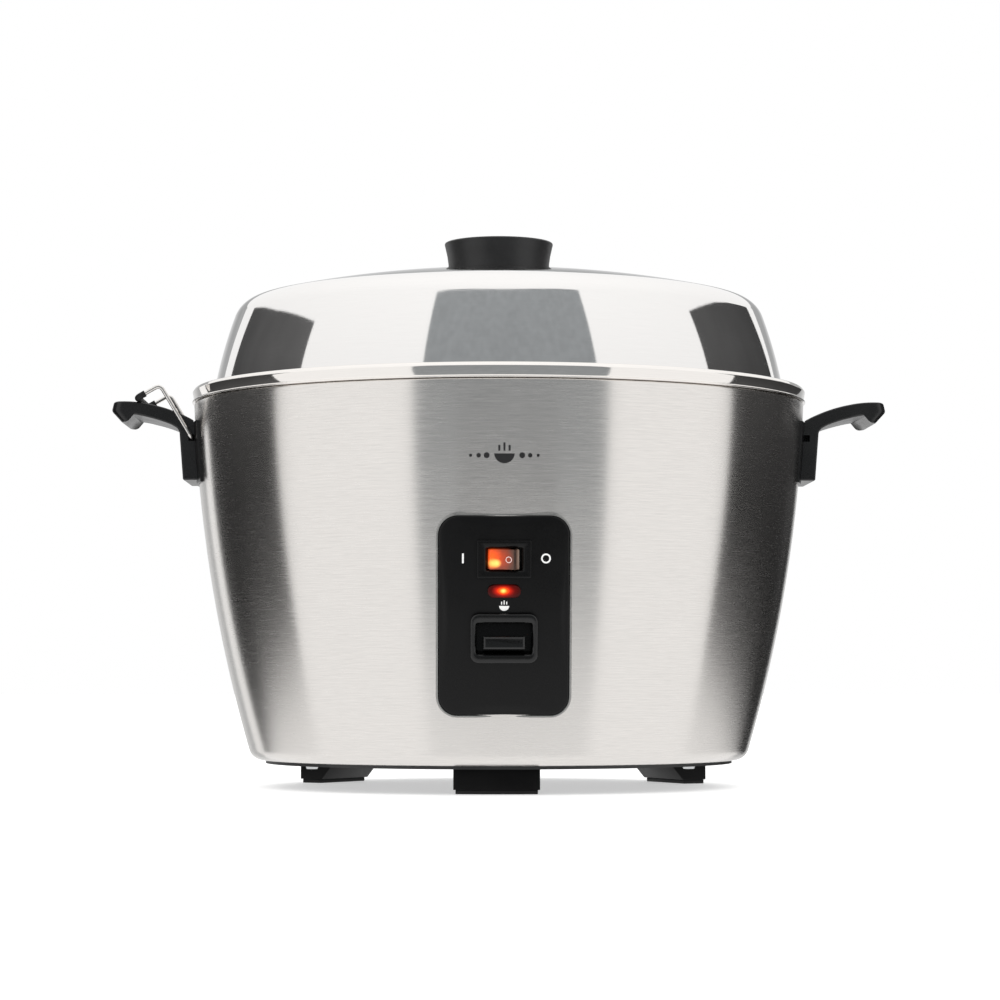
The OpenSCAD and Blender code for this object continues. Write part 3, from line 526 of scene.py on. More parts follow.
def finish(name):
    """The named finish, made when it's first asked for."""
    if name in bpy.data.materials:
        return bpy.data.materials[name]
    look = bpy.context.scene.cooker_looks
    steel, black = look.steel, look.plastic
    makers = {
        "brushed_shell": lambda n: turned_steel(
            n, steel, look.brush_roughness, grain=0.03, around=6.0, along=1300.0,
            anisotropy=look.brush_pull, lines=0.075, smudge=0.008),
        "mirror_lid": lambda n: turned_steel(
            n, look.polished, 0.045, grain=0.015, around=5.0, along=2200.0, sign=-1.0,
            lines=0.02, smudge=0.008),
        "mirror_rim": lambda n: turned_steel(
            n, shade(steel, 1.1), 0.06, grain=0.015, around=5.0, along=2400.0, lines=0.03, smudge=0.008),
        "satin_pan": lambda n: turned_steel(
            n, steel, 0.24, grain=0.05, around=16.0, along=1500.0, anisotropy=0.4, lines=0.06),
        "satin_pot": lambda n: turned_steel(
            n, shade(steel, 1.03), 0.2, grain=0.05, around=14.0, along=1400.0, anisotropy=0.4, lines=0.06),
        "polished_cover": lambda n: turned_steel(
            n, shade(steel, 1.06), 0.12, grain=0.03, around=9.0, along=2000.0, sign=-1.0, lines=0.03),
        "handle_phenolic": lambda n: moulded(n, shade(black, 0.4), 0.3, 1900.0, 0.00003, shine=0.45),
        "knob_phenolic": lambda n: moulded(n, shade(black, 1.2), 0.4, 2200.0, 0.00004, shine=0.4),
        "panel_black": lambda n: moulded(n, shade(black, 0.16), 0.3, 3000.0, 0.00002, shine=0.22),
        "switch_black": lambda n: moulded(n, shade(black, 0.12), 0.26, 2600.0, 0.00002, shine=0.25),
        "key_black": lambda n: moulded(n, shade(black, 0.12), 0.22, 2600.0, 0.00002, shine=0.5),
        "foot_black": lambda n: moulded(n, shade(black, 0.3), 0.4, 2200.0, 0.00003, shine=0.1),
        "rubber_black": lambda n: moulded(n, shade(black, 0.5), 0.6, 1500.0, 0.00006, shine=0.3),
        "base_enamel": lambda n: moulded(n, shade(black, 1.2), 0.45, 1200.0, 0.00008),
        "silver_trim": lambda n: plain_metal(n, (0.34, 0.34, 0.33), 0.22, 160.0, depth=0.000004),
        "stand_wire_steel": lambda n: plain_metal(n, shade(steel, 1.05), 0.16, 700.0),
        "zinc": lambda n: plain_metal(n, (0.66, 0.67, 0.68), 0.34),
        "pressed_steel": lambda n: plain_metal(n, (0.6, 0.6, 0.59), 0.38, 300.0),
        "cast_aluminium": lambda n: plain_metal(n, (0.7, 0.71, 0.72), 0.46, 500.0, depth=0.0001),
        "heated_sheath": lambda n: plain_metal(n, (0.34, 0.31, 0.28), 0.5, 260.0),
        "contact_brass": lambda n: plain_metal(n, (0.78, 0.6, 0.3), 0.3),
        "print_white": lambda n: moulded(n, (0.85, 0.85, 0.84), 0.5, 3000.0, 0.00001, variation=0.04),
        "print_black": lambda n: moulded(n, shade(black, 0.7), 0.45, 3000.0, 0.00001),
        "phenolic_brown": lambda n: moulded(n, (0.2, 0.09, 0.04), 0.45),
        "nylon_cream": lambda n: moulded(n, (0.74, 0.7, 0.58), 0.42, variation=0.05),
        "porcelain": lambda n: moulded(n, (0.82, 0.8, 0.76), 0.25, coat=0.5, variation=0.04),
        "mica_band": lambda n: moulded(n, (0.42, 0.29, 0.16), 0.6, 500.0, 0.0002),
        "lead_silicone": lambda n: moulded(n, (0.42, 0.05, 0.03), 0.4, variation=0.15),
        "clear_bulb": lambda n: lit_plastic(n, (0.8, 0.4, 0.2), BULB_SPOTS, 2.0),
        # The rocker's glow spots include a painted highlight on its right end.
        "rocker_glow": lambda n: lit_plastic(n, (0.1, 0.05, 0.036), ROCKER_SPOTS, look.glow, shine=0.25),
        "lens_glow": lambda n: lit_plastic(n, (0.035, 0.002, 0.0015), LENS_SPOTS, look.glow, shine=0.15),
        "ring_white": lambda n: moulded(n, (0.9, 0.66, 0.62), 0.4, variation=0.03),
    }
    return makers[name](name)


def repaint(finish_name, *nodes):
    """Gives CAD nodes that stay visible their finish."""
    for node in nodes:
        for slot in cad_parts[node].material_slots:
            slot.material = finish(finish_name)


# ---------------------------------------------------------------- settings


class CookerSizes(bpy.types.PropertyGroup):
    """Sizes that a user may want to change, in millimetres."""

    window_w: FloatProperty(
        name="Window width", description="Width of the shell's opening behind the panel", default=50.0)
    window_h: FloatProperty(
        name="Window height", description="Height of the shell's opening behind the panel", default=80.0)
    panel_w: FloatProperty(
        name="Panel width", description="Width of the black control panel", default=59.2)
    panel_h: FloatProperty(
        name="Panel height", description="Height of the black control panel", default=89.6)
    panel_z: FloatProperty(
        name="Panel middle", description="Height of the panel's middle above the table", default=81.5)
    panel_corner: FloatProperty(
        name="Panel corner", description="Corner radius of the panel", default=8.6)
    panel_proud: FloatProperty(
        name="Panel thickness", description="How far the panel stands off the shell", default=2.0)
    handle_w: FloatProperty(
        name="Handle width", description="Width of each handle along the rim", default=50.0)
    handle_edge: FloatProperty(
        name="Handle edge radius", description="Rounding along the handle's side edges", default=0.9)
    wire_r: FloatProperty(
        name="Wire radius", description="Radius of the lid stand's wire", default=1.0)
    sleeve_r: FloatProperty(
        name="Sleeve radius", description="Radius of the lid stand's rubber sleeve", default=1.6)


class CookerLooks(bpy.types.PropertyGroup):
    """Colours and finish values that a user may want to change."""

    steel: FloatVectorProperty(
        name="Steel", description="Base colour of the stainless steel",
        subtype="COLOR", size=3, min=0, max=1, default=(0.8, 0.772, 0.742))
    polished: FloatVectorProperty(
        name="Polished steel", description="Base colour of the polished lid",
        subtype="COLOR", size=3, min=0, max=1, default=(0.86, 0.845, 0.83))
    plastic: FloatVectorProperty(
        name="Plastic", description="Base colour of the black plastic",
        subtype="COLOR", size=3, min=0, max=1, default=(0.016, 0.016, 0.0165))
    brush_roughness: FloatProperty(
        name="Brushed roughness", description="Roughness of the brushed shell",
        min=0, max=1, subtype="FACTOR", default=0.25)
    brush_pull: FloatProperty(
        name="Brushed anisotropy", description="How far the brushing stretches highlights",
        min=0, max=1, subtype="FACTOR", default=0.9)
    # Glow also sets the strength of the painted highlight on the rocker's right end.
    glow: FloatProperty(
        name="Glow", description="Strength of the lamps behind the rocker and the lens", min=0, default=1.1)


class CookerOperator:
    """What every operator here shares: it builds its pieces, and an error in it stops the script."""

    bl_options = {"REGISTER", "UNDO"}

    def execute(self, context):
        self.build(context.scene.cooker_sizes)
        return {"FINISHED"}


# ---------------------------------------------------------------- body


class COOKER_OT_shell(CookerOperator, bpy.types.Operator):
    """The brushed outer shell, one long curve with a rounded bottom corner and an opening behind the panel"""

    bl_idname = "cooker.shell"
    bl_label = "Outer shell"

    def build(self, size):
        foot_r, flange_r = 108.0, 146.4
        corner_z = SHELL_FOOT_Z + SHELL_CORNER
        reach = SHELL_BULGE - SHELL_CORNER
        corner_r = BULGE_C[0] + math.sqrt(reach ** 2 - (corner_z - BULGE_C[1]) ** 2)
        corner_a = math.degrees(math.atan2(corner_z - BULGE_C[1], corner_r - BULGE_C[0]))
        fold = 0.8
        fold_c = (shell_r(SHELL_TOP[1] - fold) - fold, SHELL_TOP[1] - fold)
        top_a = math.degrees(math.asin((fold_c[1] - BULGE_C[1]) / SHELL_BULGE))
        inner_a = math.degrees(math.asin((SHELL_TOP[1] - SHEET - BULGE_C[1]) / SHELL_BULGE))
        outer = ([(flange_r, SHELL_TOP[1])] + arc(*fold_c, fold, 90, top_a, 8)[:-1]
                 + arc(*BULGE_C, SHELL_BULGE, top_a, corner_a, 100)
                 + arc(corner_r, corner_z, SHELL_CORNER, corner_a, -90, 14) + [(foot_r, SHELL_FOOT_Z)])
        inner = ([(flange_r, SHELL_TOP[1] - SHEET)] + arc(*BULGE_C, SHELL_BULGE - SHEET, inner_a, corner_a, 100)
                 + arc(corner_r, corner_z, SHELL_CORNER - SHEET, corner_a, -90, 14)
                 + [(foot_r, SHELL_FOOT_Z + SHEET)])
        verts, faces = revolve(outer + inner[::-1], 360)
        half_w, half_h = size.window_w / 2, size.window_h / 2

        def in_window(face):
            x, y, z = (sum(verts[i][k] for i in face) / len(face) for k in range(3))
            return y < 0 and abs(x) < half_w and abs(z - size.panel_z) < half_h

        faces = [f for f in faces if not in_window(f)]
        mesh = bpy.data.meshes.new("outer_shell_skin")
        mesh.from_pydata([Vector(v) * MM for v in verts], [], faces)
        work = bmesh.new()
        work.from_mesh(mesh)
        bmesh.ops.delete(work, geom=[v for v in work.verts if not v.link_faces], context="VERTS")
        bmesh.ops.bridge_loops(work, edges=[e for e in work.edges if e.is_boundary])
        work.to_mesh(mesh)
        work.free()
        finish_mesh(mesh, 32)
        place_piece("outer_shell_skin", mesh, "body", finish("brushed_shell"), ("outer_shell",))


class COOKER_OT_rim(CookerOperator, bpy.types.Operator):
    """The polished band round the rim, with a rolled top and a small lip at its foot"""

    bl_idname = "cooker.rim"
    bl_label = "Rim band"

    def build(self, size):
        strip, roll_r, slope_a = 0.7, 1.5, 32
        roll = (149.8, 194.1)
        profile = ([(149.2, 188.22), (150.1, 188.22), (151.1, 188.45)] + arc(151.65, 188.9, 0.35, -100, 70, 10)
                   + [(151.45, 189.33), (151.22, 189.5), (151.09, 189.8), (151.78, 193.45), (151.78, 193.75),
                      (151.66, 193.98)] + arc(*roll, roll_r, slope_a, 180, 24)
                   + [(148.3, 193.2), (148.3 + strip, 193.2)] + arc(*roll, roll_r - strip, 180, slope_a, 18)
                   + [(151.05, 193.7), (150.45, 190.0), (149.2, 188.9)])
        verts, faces = revolve(profile, 384)
        piece("rim_band_rolled", "body", finish("mirror_rim"), verts, faces, ("rim_band",), 40)


class COOKER_OT_pan(CookerOperator, bpy.types.Operator):
    """The heating pan inside, with the seat that the lid rests on"""

    bl_idname = "cooker.pan"
    bl_label = "Heating pan"

    def build(self, size):
        mouth, low, floor, top, corner, lip = 131.0, 118.5, 48.0, 180.0, 14.0, 5.2
        lean = math.degrees(math.atan((mouth - low) / (top - floor - corner)))

        def skin(grow):
            return ([(0, floor - grow), (40, floor - grow)]
                    + arc(low - corner, floor + corner, corner + grow, -90, -lean, 14)
                    + arc(mouth + lip, top, lip - grow, 180 - lean, 90, 12))

        seat = 186.7
        seat_r, edge_z = 143, 194.4
        inner = skin(0) + [(seat_r, seat - 0.6), (144.6, seat - 0.15), (145.2, seat + 0.5), (147.2, edge_z)]
        outer = skin(SHEET) + [(seat_r, seat - 0.6 - SHEET), (145.2, seat - SHEET), (146, seat), (148, edge_z)]
        verts, faces = revolve(inner + outer[::-1], 288)
        piece("heating_pan_spun", "body", finish("satin_pan"), verts, faces, ("heating_pan",), 30)


class COOKER_OT_base(CookerOperator, bpy.types.Operator):
    """The base cover, the three feet, their pads and screws"""

    bl_idname = "cooker.base"
    bl_label = "Base and feet"

    def build(self, size):
        repaint("base_enamel", "base_cover")
        for node in ("front_foot", "rear_foot_left", "rear_foot_right"):
            softened(node, node + "_moulded", "body", finish("foot_black"), 0.5)
        softened("foot_pads", "foot_pads_moulded", "body", finish("rubber_black"), 0.35)
        repaint("zinc", "base_screws")
        # Painted shade: the foot screws take the feet's black, standing in for the shade they sit in under the
        # cooker.
        repaint("foot_black", "foot_screws")


# ---------------------------------------------------------------- handles


def arc_through(p, q, r, count):
    """An arc of radius r from p to q that bulges to the left of the way from p to q."""
    dx, dy = q[0] - p[0], q[1] - p[1]
    span = math.hypot(dx, dy)
    back = math.sqrt(r * r - (span / 2) ** 2)
    cx = (p[0] + q[0]) / 2 - back * dy / span
    cy = (p[1] + q[1]) / 2 + back * dx / span
    start = math.degrees(math.atan2(p[1] - cy, p[0] - cx))
    end = math.degrees(math.atan2(q[1] - cy, q[0] - cx))
    return arc(cx, cy, r, start, end, count)


HANDLE_REACH = 190.0
HANDLE_BACK = 143
PIVOT_X, PIVOT_Z = 150.6, 170.6


def handle_outline():
    """The handle's outline seen from the front: a leg, an arm and a down-turned lip."""
    leg, reach = 149.9, HANDLE_REACH
    outline = ([(HANDLE_BACK, leg), (154.4, leg), (154.9, leg + 0.5)] + arc(160.6, 172.4, 4, 180, 118, 8)
               + arc_through((reach - 9.8, 182.1), (160.6, 177), 78, 16)[::-1]
               + arc(reach - 5.2, 179.2, 0.8, 225, 315, 5) + arc(reach - 1.9, 184.4, 1.9, -45, 15, 6)
               + arc(reach - 2.1, 187, 1.5, 10, 80, 6)
               + arc_through((reach - 2.6, 188.5), (148, 178.2), 72, 22) + [(HANDLE_BACK, 177)])
    return dense(outline, 1.2)


def handle_mesh(size, side):
    """A handle swept along its width, with rounded side edges, rounded tip corners and a curved back."""
    half, edge, tip_r = size.handle_w / 2, size.handle_edge, 5.0
    arm_x, back_top, spacer, spans = 172, 187, 1.2, 32
    outline = handle_outline()
    stations = [(half - edge + edge * math.sin(math.radians(a)), edge * (1 - math.cos(math.radians(a))))
                for a in (90, 72, 54, 36, 18, 0)]
    inner = half - edge
    stations += [(inner - inner * 2 * k / spans, 0.0) for k in range(1, spans)]
    stations += [(-y, inset) for y, inset in stations[:6][::-1]]
    rings = []
    for y, inset in stations:
        over = max(0.0, abs(y) - (half - tip_r))
        cut = tip_r - math.sqrt(max(0.0, tip_r ** 2 - over ** 2))
        ring = []
        for x, z in shrink(outline, inset):
            x -= cut * min(1.0, max(0.0, (x - arm_x) / (HANDLE_REACH - arm_x)))
            back = math.sqrt((shell_r(min(z, back_top)) + spacer) ** 2 - y * y)
            ring.append((side * max(x, back), y, z))
        rings.append(ring)
    verts, faces = loft(rings, False, False)
    count = len(outline)
    return verts, faces + zipped(verts, 0, count) + zipped(verts, len(verts) - count, count)


def zipped(verts, first, count):
    """Triangles that close a long, thin ring of vertices by zipping its two sides from its first corner."""
    ring = [Vector(v) for v in verts[first:first + count]]
    ahead, back = 1, count - 1
    faces = [(first, first + 1, first + back)]
    while back - ahead > 1:
        if (ring[ahead + 1] - ring[back]).length < (ring[ahead] - ring[back - 1]).length:
            faces.append((first + ahead, first + ahead + 1, first + back))
            ahead += 1
        else:
            faces.append((first + ahead, first + back - 1, first + back))
            back -= 1
    return faces


def cut_out(obj, boxes, bores):
    """Cuts boxes, each (centre, size), and bores, each (centre, turn, radius, length), out of a piece."""
    mesh = bpy.data.meshes.new("cutter")
    work = bmesh.new()
    for centre, size in boxes:
        at = Matrix.Translation(Vector(centre) * MM) @ Matrix.Diagonal((*(Vector(size) * MM), 1.0))
        bmesh.ops.create_cube(work, size=1.0, matrix=at)
    for centre, turn, radius, length in bores:
        at = Matrix.Translation(Vector(centre) * MM) @ Matrix.Rotation(math.radians(90), 4, turn)
        bmesh.ops.create_cone(work, cap_ends=True, segments=32, radius1=radius * MM, radius2=radius * MM,
                              depth=length * MM, matrix=at)
    work.to_mesh(mesh)
    work.free()
    cutter = bpy.data.objects.new("cutter", mesh)
    bpy.context.scene.collection.objects.link(cutter)
    cut = obj.modifiers.new("pockets", "BOOLEAN")
    cut.operation = "DIFFERENCE"
    cut.solver = "EXACT"
    cut.object = cutter
    bpy.context.view_layer.update()
    shape = bpy.data.meshes.new_from_object(obj.evaluated_get(bpy.context.evaluated_depsgraph_get()))
    obj.modifiers.clear()
    materials = list(obj.data.materials)
    obj.data = shape
    shape.materials.clear()
    for material in materials:
        shape.materials.append(material)
    bpy.data.objects.remove(cutter)
    shape.shade_smooth()
    shape.set_sharp_from_angle(angle=math.radians(32))


class COOKER_OT_handles(CookerOperator, bpy.types.Operator):
    """Both side handles, their spacer plates, screws and nuts"""

    bl_idname = "cooker.handles"
    bl_label = "Handles"

    def build(self, size):
        for side, name in ((-1, "left"), (1, "right")):
            verts, faces = handle_mesh(size, side)
            made = piece(name + "_handle_moulded", "body", finish("handle_phenolic"), verts, faces,
                         (name + "_handle",), 32)
            notch, bore = (10.4, 8.0, 3.2), 8.0
            notch_y = size.handle_w / 2 - notch[1] / 2 + 0.01
            cut_out(made, [((side * 147, y * notch_y, PIVOT_Z), notch) for y in (-1, 1)],
                    [((side * 160.4, 0, z), "Y", 4.2, 14.0) for z in (155, 166)])
            cut_out(made, [], [((side * PIVOT_X, y * 17.5, PIVOT_Z), "X", 1.25, bore) for y in (-1, 1)])
            softened(name + "_handle_spacer", name + "_handle_spacer_moulded", "body",
                     finish("handle_phenolic"), 0.3)
        repaint("zinc", "handle_screws", "handle_nuts")


class COOKER_OT_stand(CookerOperator, bpy.types.Operator):
    """The bent wire lid stand on the left handle and its rubber sleeve"""

    bl_idname = "cooker.stand"
    bl_label = "Lid stand"

    def build(self, size):
        leg_y, foot_y, knee, end = 27.0, 14.5, (-166.0, 196.3), (-177.0, 190.0)
        half = [(-PIVOT_X, foot_y, PIVOT_Z), (-PIVOT_X, leg_y, PIVOT_Z), (knee[0], leg_y, knee[1]),
                (end[0], leg_y, end[1])]
        path = half + [(x, -y, z) for x, y, z in half[::-1]]
        bend, sleeve_start, overhang = 3.0, 0.68, 0.25
        verts, faces = tube(bent(path, bend), size.wire_r)
        piece("stand_wire_bent", "stand", finish("stand_wire_steel"), verts, faces, ("stand_wire",), 50)
        start = Vector(half[2]).lerp(Vector(half[3]), sleeve_start)
        covered = [tuple(start), half[3]]
        path = bent(covered + [(x, -y, z) for x, y, z in covered[::-1]], bend)
        first, last = (path[0] - path[1]).normalized(), (path[-1] - path[-2]).normalized()
        verts, faces = tube([path[0] + first * overhang] + path + [path[-1] + last * overhang], size.sleeve_r)
        piece("stand_sleeve_rubber", "stand", finish("rubber_black"), verts, faces,
              ("stand_sleeve",), 50)


# ---------------------------------------------------------------- control panel

SWITCH_Z, LENS_Z, LEVER_Z = 107.1, 92.7, 71.9
BEZEL_PROUD = 2.9
FRAME_PROUD = 4.4
ROCKER_FACE = ((-5.5, -5.4), (-2.8, -4.75), (0, -4.5), (2.8, -4.75), (5.5, -5.4))


def hole_outline(w, h, r, z):
    """A rounded opening in the panel, round a control's middle."""
    return [(x, y + z) for x, y in dense(rounded_rect(w, h, r, 6), 2.0)]


class COOKER_OT_panel(CookerOperator, bpy.types.Operator):
    """The black panel that follows the shell, its thin silver trim and the printed marks"""

    bl_idname = "cooker.panel"
    bl_label = "Control panel"

    def build(self, size):
        w, h, corner, proud = size.panel_w, size.panel_h, size.panel_corner, size.panel_proud
        edge, back = 0.9, 0.05

        def loop(inset):
            outline = rounded_rect(w - 2 * inset, h - 2 * inset, corner - inset, 12)
            return [(x, z + size.panel_z) for x, z in outline]

        def ring(inset, out):
            return [on_shell(x, z, out) for x, z in loop(inset)]

        holes = [hole_outline(21.2, 14.2, 0.5, SWITCH_Z), hole_outline(15.0, 5.8, 2.7, LENS_Z),
                 hole_outline(28.6, 20.7, 2.6, LEVER_Z)]
        rings = [ring(0, back)]
        for step in range(7):
            angle = math.radians(15 * step)
            rings.append(ring(edge * (1 - math.cos(angle)), proud - edge + edge * math.sin(angle)))
        parts = [loft(rings, False, False)]
        for inset, out in ((edge, proud), (0, back)):
            points, tris = filled(loop(inset), holes, 1.9)
            parts.append(([on_shell(x, z, out) for x, z in points], tris))
        for hole in holes:
            parts.append(loft([[on_shell(x, z, out) for x, z in hole] for out in (back, proud)], False, False))
        verts, faces = joined(*parts)
        piece("control_panel_plate", "body", finish("panel_black"), verts, faces,
              ("control_panel",), 35)

        bead = [(0.03, 0.05), (0.03, 1.15), (0.16, 1.42), (0.38, 1.56), (0.62, 1.6), (0.86, 1.54), (1.06, 1.36),
                (1.18, 1.1), (1.2, 0.05)]
        rings = [[on_shell(x, z, out) for x, z in loop(-u)] for u, out in bead]
        verts, faces = loft(rings + rings[:1], False, False)
        piece("panel_trim_bead", "body", finish("silver_trim"), verts, faces, ("panel_trim",), 50)
        repaint("print_white", "panel_marks")
        repaint("print_black", "shell_emblem")


class COOKER_OT_switch(CookerOperator, bpy.types.Operator):
    """The rocker switch: a bezel with a deep opening, the lit rocker and its marks"""

    bl_idname = "cooker.switch"
    bl_label = "Rocker switch"

    def build(self, size):
        at = front_frame(SWITCH_Z, BEZEL_PROUD)
        w, h, open_w, open_h, deep = 24.4, 17.1, 15.9, 10.0, 11.2
        box_w, box_h, box_depth = 21, 14, 14
        steps = [(box_w, box_h, 0.5, box_depth), (box_w, box_h, 0.5, 1.5), (w, h, 0.6, 1.5), (w, h, 0.6, 0.55),
                 (w - 0.2, h - 0.2, 0.6, 0.2), (w - 0.6, h - 0.6, 0.55, 0.03), (w - 1.1, h - 1.1, 0.5, 0),
                 (open_w + 2.6, open_h + 2.6, 1.1, 0),
                 (open_w + 1.0, open_h + 1.0, 0.8, 0.35), (open_w + 0.3, open_h + 0.3, 0.6, 0.8),
                 (open_w, open_h, 0.5, 1.2), (open_w, open_h, 0.5, deep)]
        verts, faces = loft(rect_rings(steps, 6))
        piece("switch_housing_moulded", "body", finish("switch_black"), verts, faces,
              ("switch_housing",), 35, at)
        repaint("contact_brass", "switch_terminals")

        swing, pivot_depth, tall, edge = -8.5, 3.8, 9.0, 0.35
        outline = dense([(-7.1, -2.4), (-5.9, -5.15), *ROCKER_FACE, (5.9, -5.15), (7.1, -2.4),
                         *arc(0, 0.6, 6, -4, 184, 20)], 0.7)
        tilt = front_frame(SWITCH_Z, BEZEL_PROUD - pivot_depth) @ Matrix.Rotation(math.radians(swing), 4, "Z")
        rings = []
        for z, inset in ((-tall / 2, edge), (-tall / 2 + edge * 0.3, edge * 0.3), (-tall / 2 + edge, 0),
                         (tall / 2 - edge, 0), (tall / 2 - edge * 0.3, edge * 0.3), (tall / 2, edge)):
            rings.append([(x, y, z) for x, y in shrink(outline, inset)])
        verts, faces = loft(rings)
        piece("rocker_button_lit", "rocker", finish("rocker_glow"), verts, faces,
              ("rocker_button",), 30, tilt)

        ring_x, ring_r, line, lift, sides = 2.7, 1.45, 0.32, 0.05, 36
        slope = math.atan2(-0.95, 5.6)
        parts = []
        for k in range(sides):
            a, b = TURN * k / sides, TURN * (k + 1) / sides
            quad = []
            for angle, r in ((a, ring_r), (b, ring_r), (b, ring_r - line), (a, ring_r - line)):
                u, v = r * math.cos(angle), r * math.sin(angle)
                x = ring_x + u * math.cos(slope)
                quad.append((x, rocker_face(x) - lift, v))
            parts.append((quad, [[0, 1, 2, 3]]))
        verts, faces = joined(*parts)
        made = piece("rocker_marks_print", "rocker", finish("ring_white"), verts, faces,
                     ("rocker_marks",), 60, tilt)
        thick = made.modifiers.new("print", "SOLIDIFY")
        thick.thickness = 0.06 * MM
        thick.offset = 0


def rocker_face(x):
    """Depth of the rocker's front face at a sideways place, before it's tilted."""
    for (ax, ay), (bx, by) in zip(ROCKER_FACE, ROCKER_FACE[1:]):
        if ax <= x <= bx:
            return ay + (by - ay) * (x - ax) / (bx - ax)
    return ROCKER_FACE[-1][1]


class COOKER_OT_indicator(CookerOperator, bpy.types.Operator):
    """The glowing indicator lens and the lamp behind it"""

    bl_idname = "cooker.indicator"
    bl_label = "Indicator"

    def build(self, size):
        w, h = 14.9, 5.7
        steps = [(w, h, 2.6, 6), (w, h, 2.6, 0.55), (w - 0.25, h - 0.25, 2.6, 0.25),
                 (w - 0.8, h - 0.8, 2.4, 0.08), (w - 2.2, h - 2.2, 1.7, 0.02), (w - 4.2, 1.4, 0.69, 0)]
        verts, faces = loft(rect_rings(steps, 8))
        piece("indicator_lens_lit", "body", finish("lens_glow"), verts, faces, ("indicator_lens",), 40,
              front_frame(LENS_Z, 2.7))
        repaint("clear_bulb", "indicator_lamp")


class COOKER_OT_lever(CookerOperator, bpy.types.Operator):
    """The cook lever's frame, its bevelled key and the parts that it works"""

    bl_idname = "cooker.lever"
    bl_label = "Cook lever"

    def build(self, size):
        w, h, open_w, open_h = 30.6, 22.7, 24.9, 13.9
        at = front_frame(LEVER_Z, FRAME_PROUD)
        steps = [(w - 2.4, h - 2.4, 2.6, 8), (w - 2.4, h - 2.4, 2.6, 2.4), (w, h, 3.9, 2.4), (w, h, 3.9, 0.9),
                 (w - 0.3, h - 0.3, 3.8, 0.4), (w - 0.9, h - 0.9, 3.6, 0.1), (w - 1.8, h - 1.8, 3.3, 0),
                 (open_w + 2.2, open_h + 2.2, 2.1, 0), (open_w + 1.2, open_h + 1.2, 1.7, 0.2),
                 (open_w + 0.4, open_h + 0.4, 1.4, 0.8), (open_w, open_h, 1.2, 1.6), (open_w, open_h, 1.2, 8)]
        rings = rect_rings(steps, 8)
        verts, faces = loft(rings + rings[:1], False, False)
        piece("lever_frame_moulded", "body", finish("key_black"), verts, faces,
              ("lever_frame",), 35, at)

        key_w, key_h, key_z, key_front, bevel = 18.7, 5.7, 69.3, 143.4, 0.7
        steps = [(key_w, key_h, 0.25, 9), (key_w, key_h, 0.25, 0.12), (key_w - 0.12, key_h - 0.12, 0.25, 0),
                 (key_w - 2 * bevel, key_h - 2 * bevel, 0.2, -bevel + 0.05),
                 (key_w - 2 * bevel - 0.2, key_h - 2 * bevel - 0.2, 0.2, -bevel),
                 (key_w - 2 * bevel - 0.7, key_h - 2 * bevel - 0.7, 0.2, -bevel + 0.12)]
        verts, faces = loft(rect_rings(steps, 4))
        piece("lever_key_moulded", "lever", finish("key_black"), verts, faces, ("lever_key",), 25,
              Matrix.Translation((0, -key_front, key_z)))
        repaint("switch_black", "lever_shield")
        repaint("pressed_steel", "lever_arm", "switch_bracket")
        repaint("zinc", "lever_pin")
        repaint("phenolic_brown", "contact_block")
        repaint("contact_brass", "contact_blades")
        repaint("nylon_cream", "switch_plunger")


class COOKER_OT_heater(CookerOperator, bpy.types.Operator):
    """Finishes for the heater, its clamps and controls, and the wiring"""

    bl_idname = "cooker.heater"
    bl_label = "Heater and wiring"

    def build(self, size):
        repaint("cast_aluminium", "heating_plate")
        repaint("heated_sheath", "heating_element")
        repaint("porcelain", "element_terminals", "thermal_fuse")
        repaint("pressed_steel", "clamp_plate")
        repaint("zinc", "clamp_studs", "clamp_nuts")
        repaint("phenolic_brown", "thermostat")
        repaint("mica_band", "keep_warm_band")
        repaint("nylon_cream", "terminal_block")
        repaint("lead_silicone", "lead_wires")
        softened("cord_bushing", "cord_bushing_moulded", "body", finish("rubber_black"), 0.4)


# ---------------------------------------------------------------- lid and pots


def lid_outline(grow):
    """The lid's outline from its middle down to its edge."""
    crown, shoulder, side, low_a = 540.0, 14.0, 220.0, 10.2
    crown_c = (0.0, 254.0 - crown)
    side_c = (141.0 - side * math.cos(math.radians(low_a)), 195.0 - side * math.sin(math.radians(low_a)))
    dx, dz = side_c[0] - crown_c[0], side_c[1] - crown_c[1]
    gap = math.hypot(dx, dz)
    r1, r2 = crown - shoulder, side - shoulder
    along = (r1 * r1 - r2 * r2 + gap * gap) / (2 * gap)
    across = math.sqrt(r1 * r1 - along * along)
    ux, uz = dx / gap, dz / gap
    mid = (crown_c[0] + along * ux + across * uz, crown_c[1] + along * uz - across * ux)
    crown_a = math.degrees(math.atan2(mid[1] - crown_c[1], mid[0] - crown_c[0]))
    side_a = math.degrees(math.atan2(mid[1] - side_c[1], mid[0] - side_c[0]))
    edge_a = math.degrees(math.asin((188.0 - side_c[1]) / side))
    return (arc(*crown_c, crown + grow, 90, crown_a, 60) + arc(*mid, shoulder + grow, crown_a, side_a, 30)[1:]
            + arc(*side_c, side + grow, side_a, edge_a, 50)[1:])


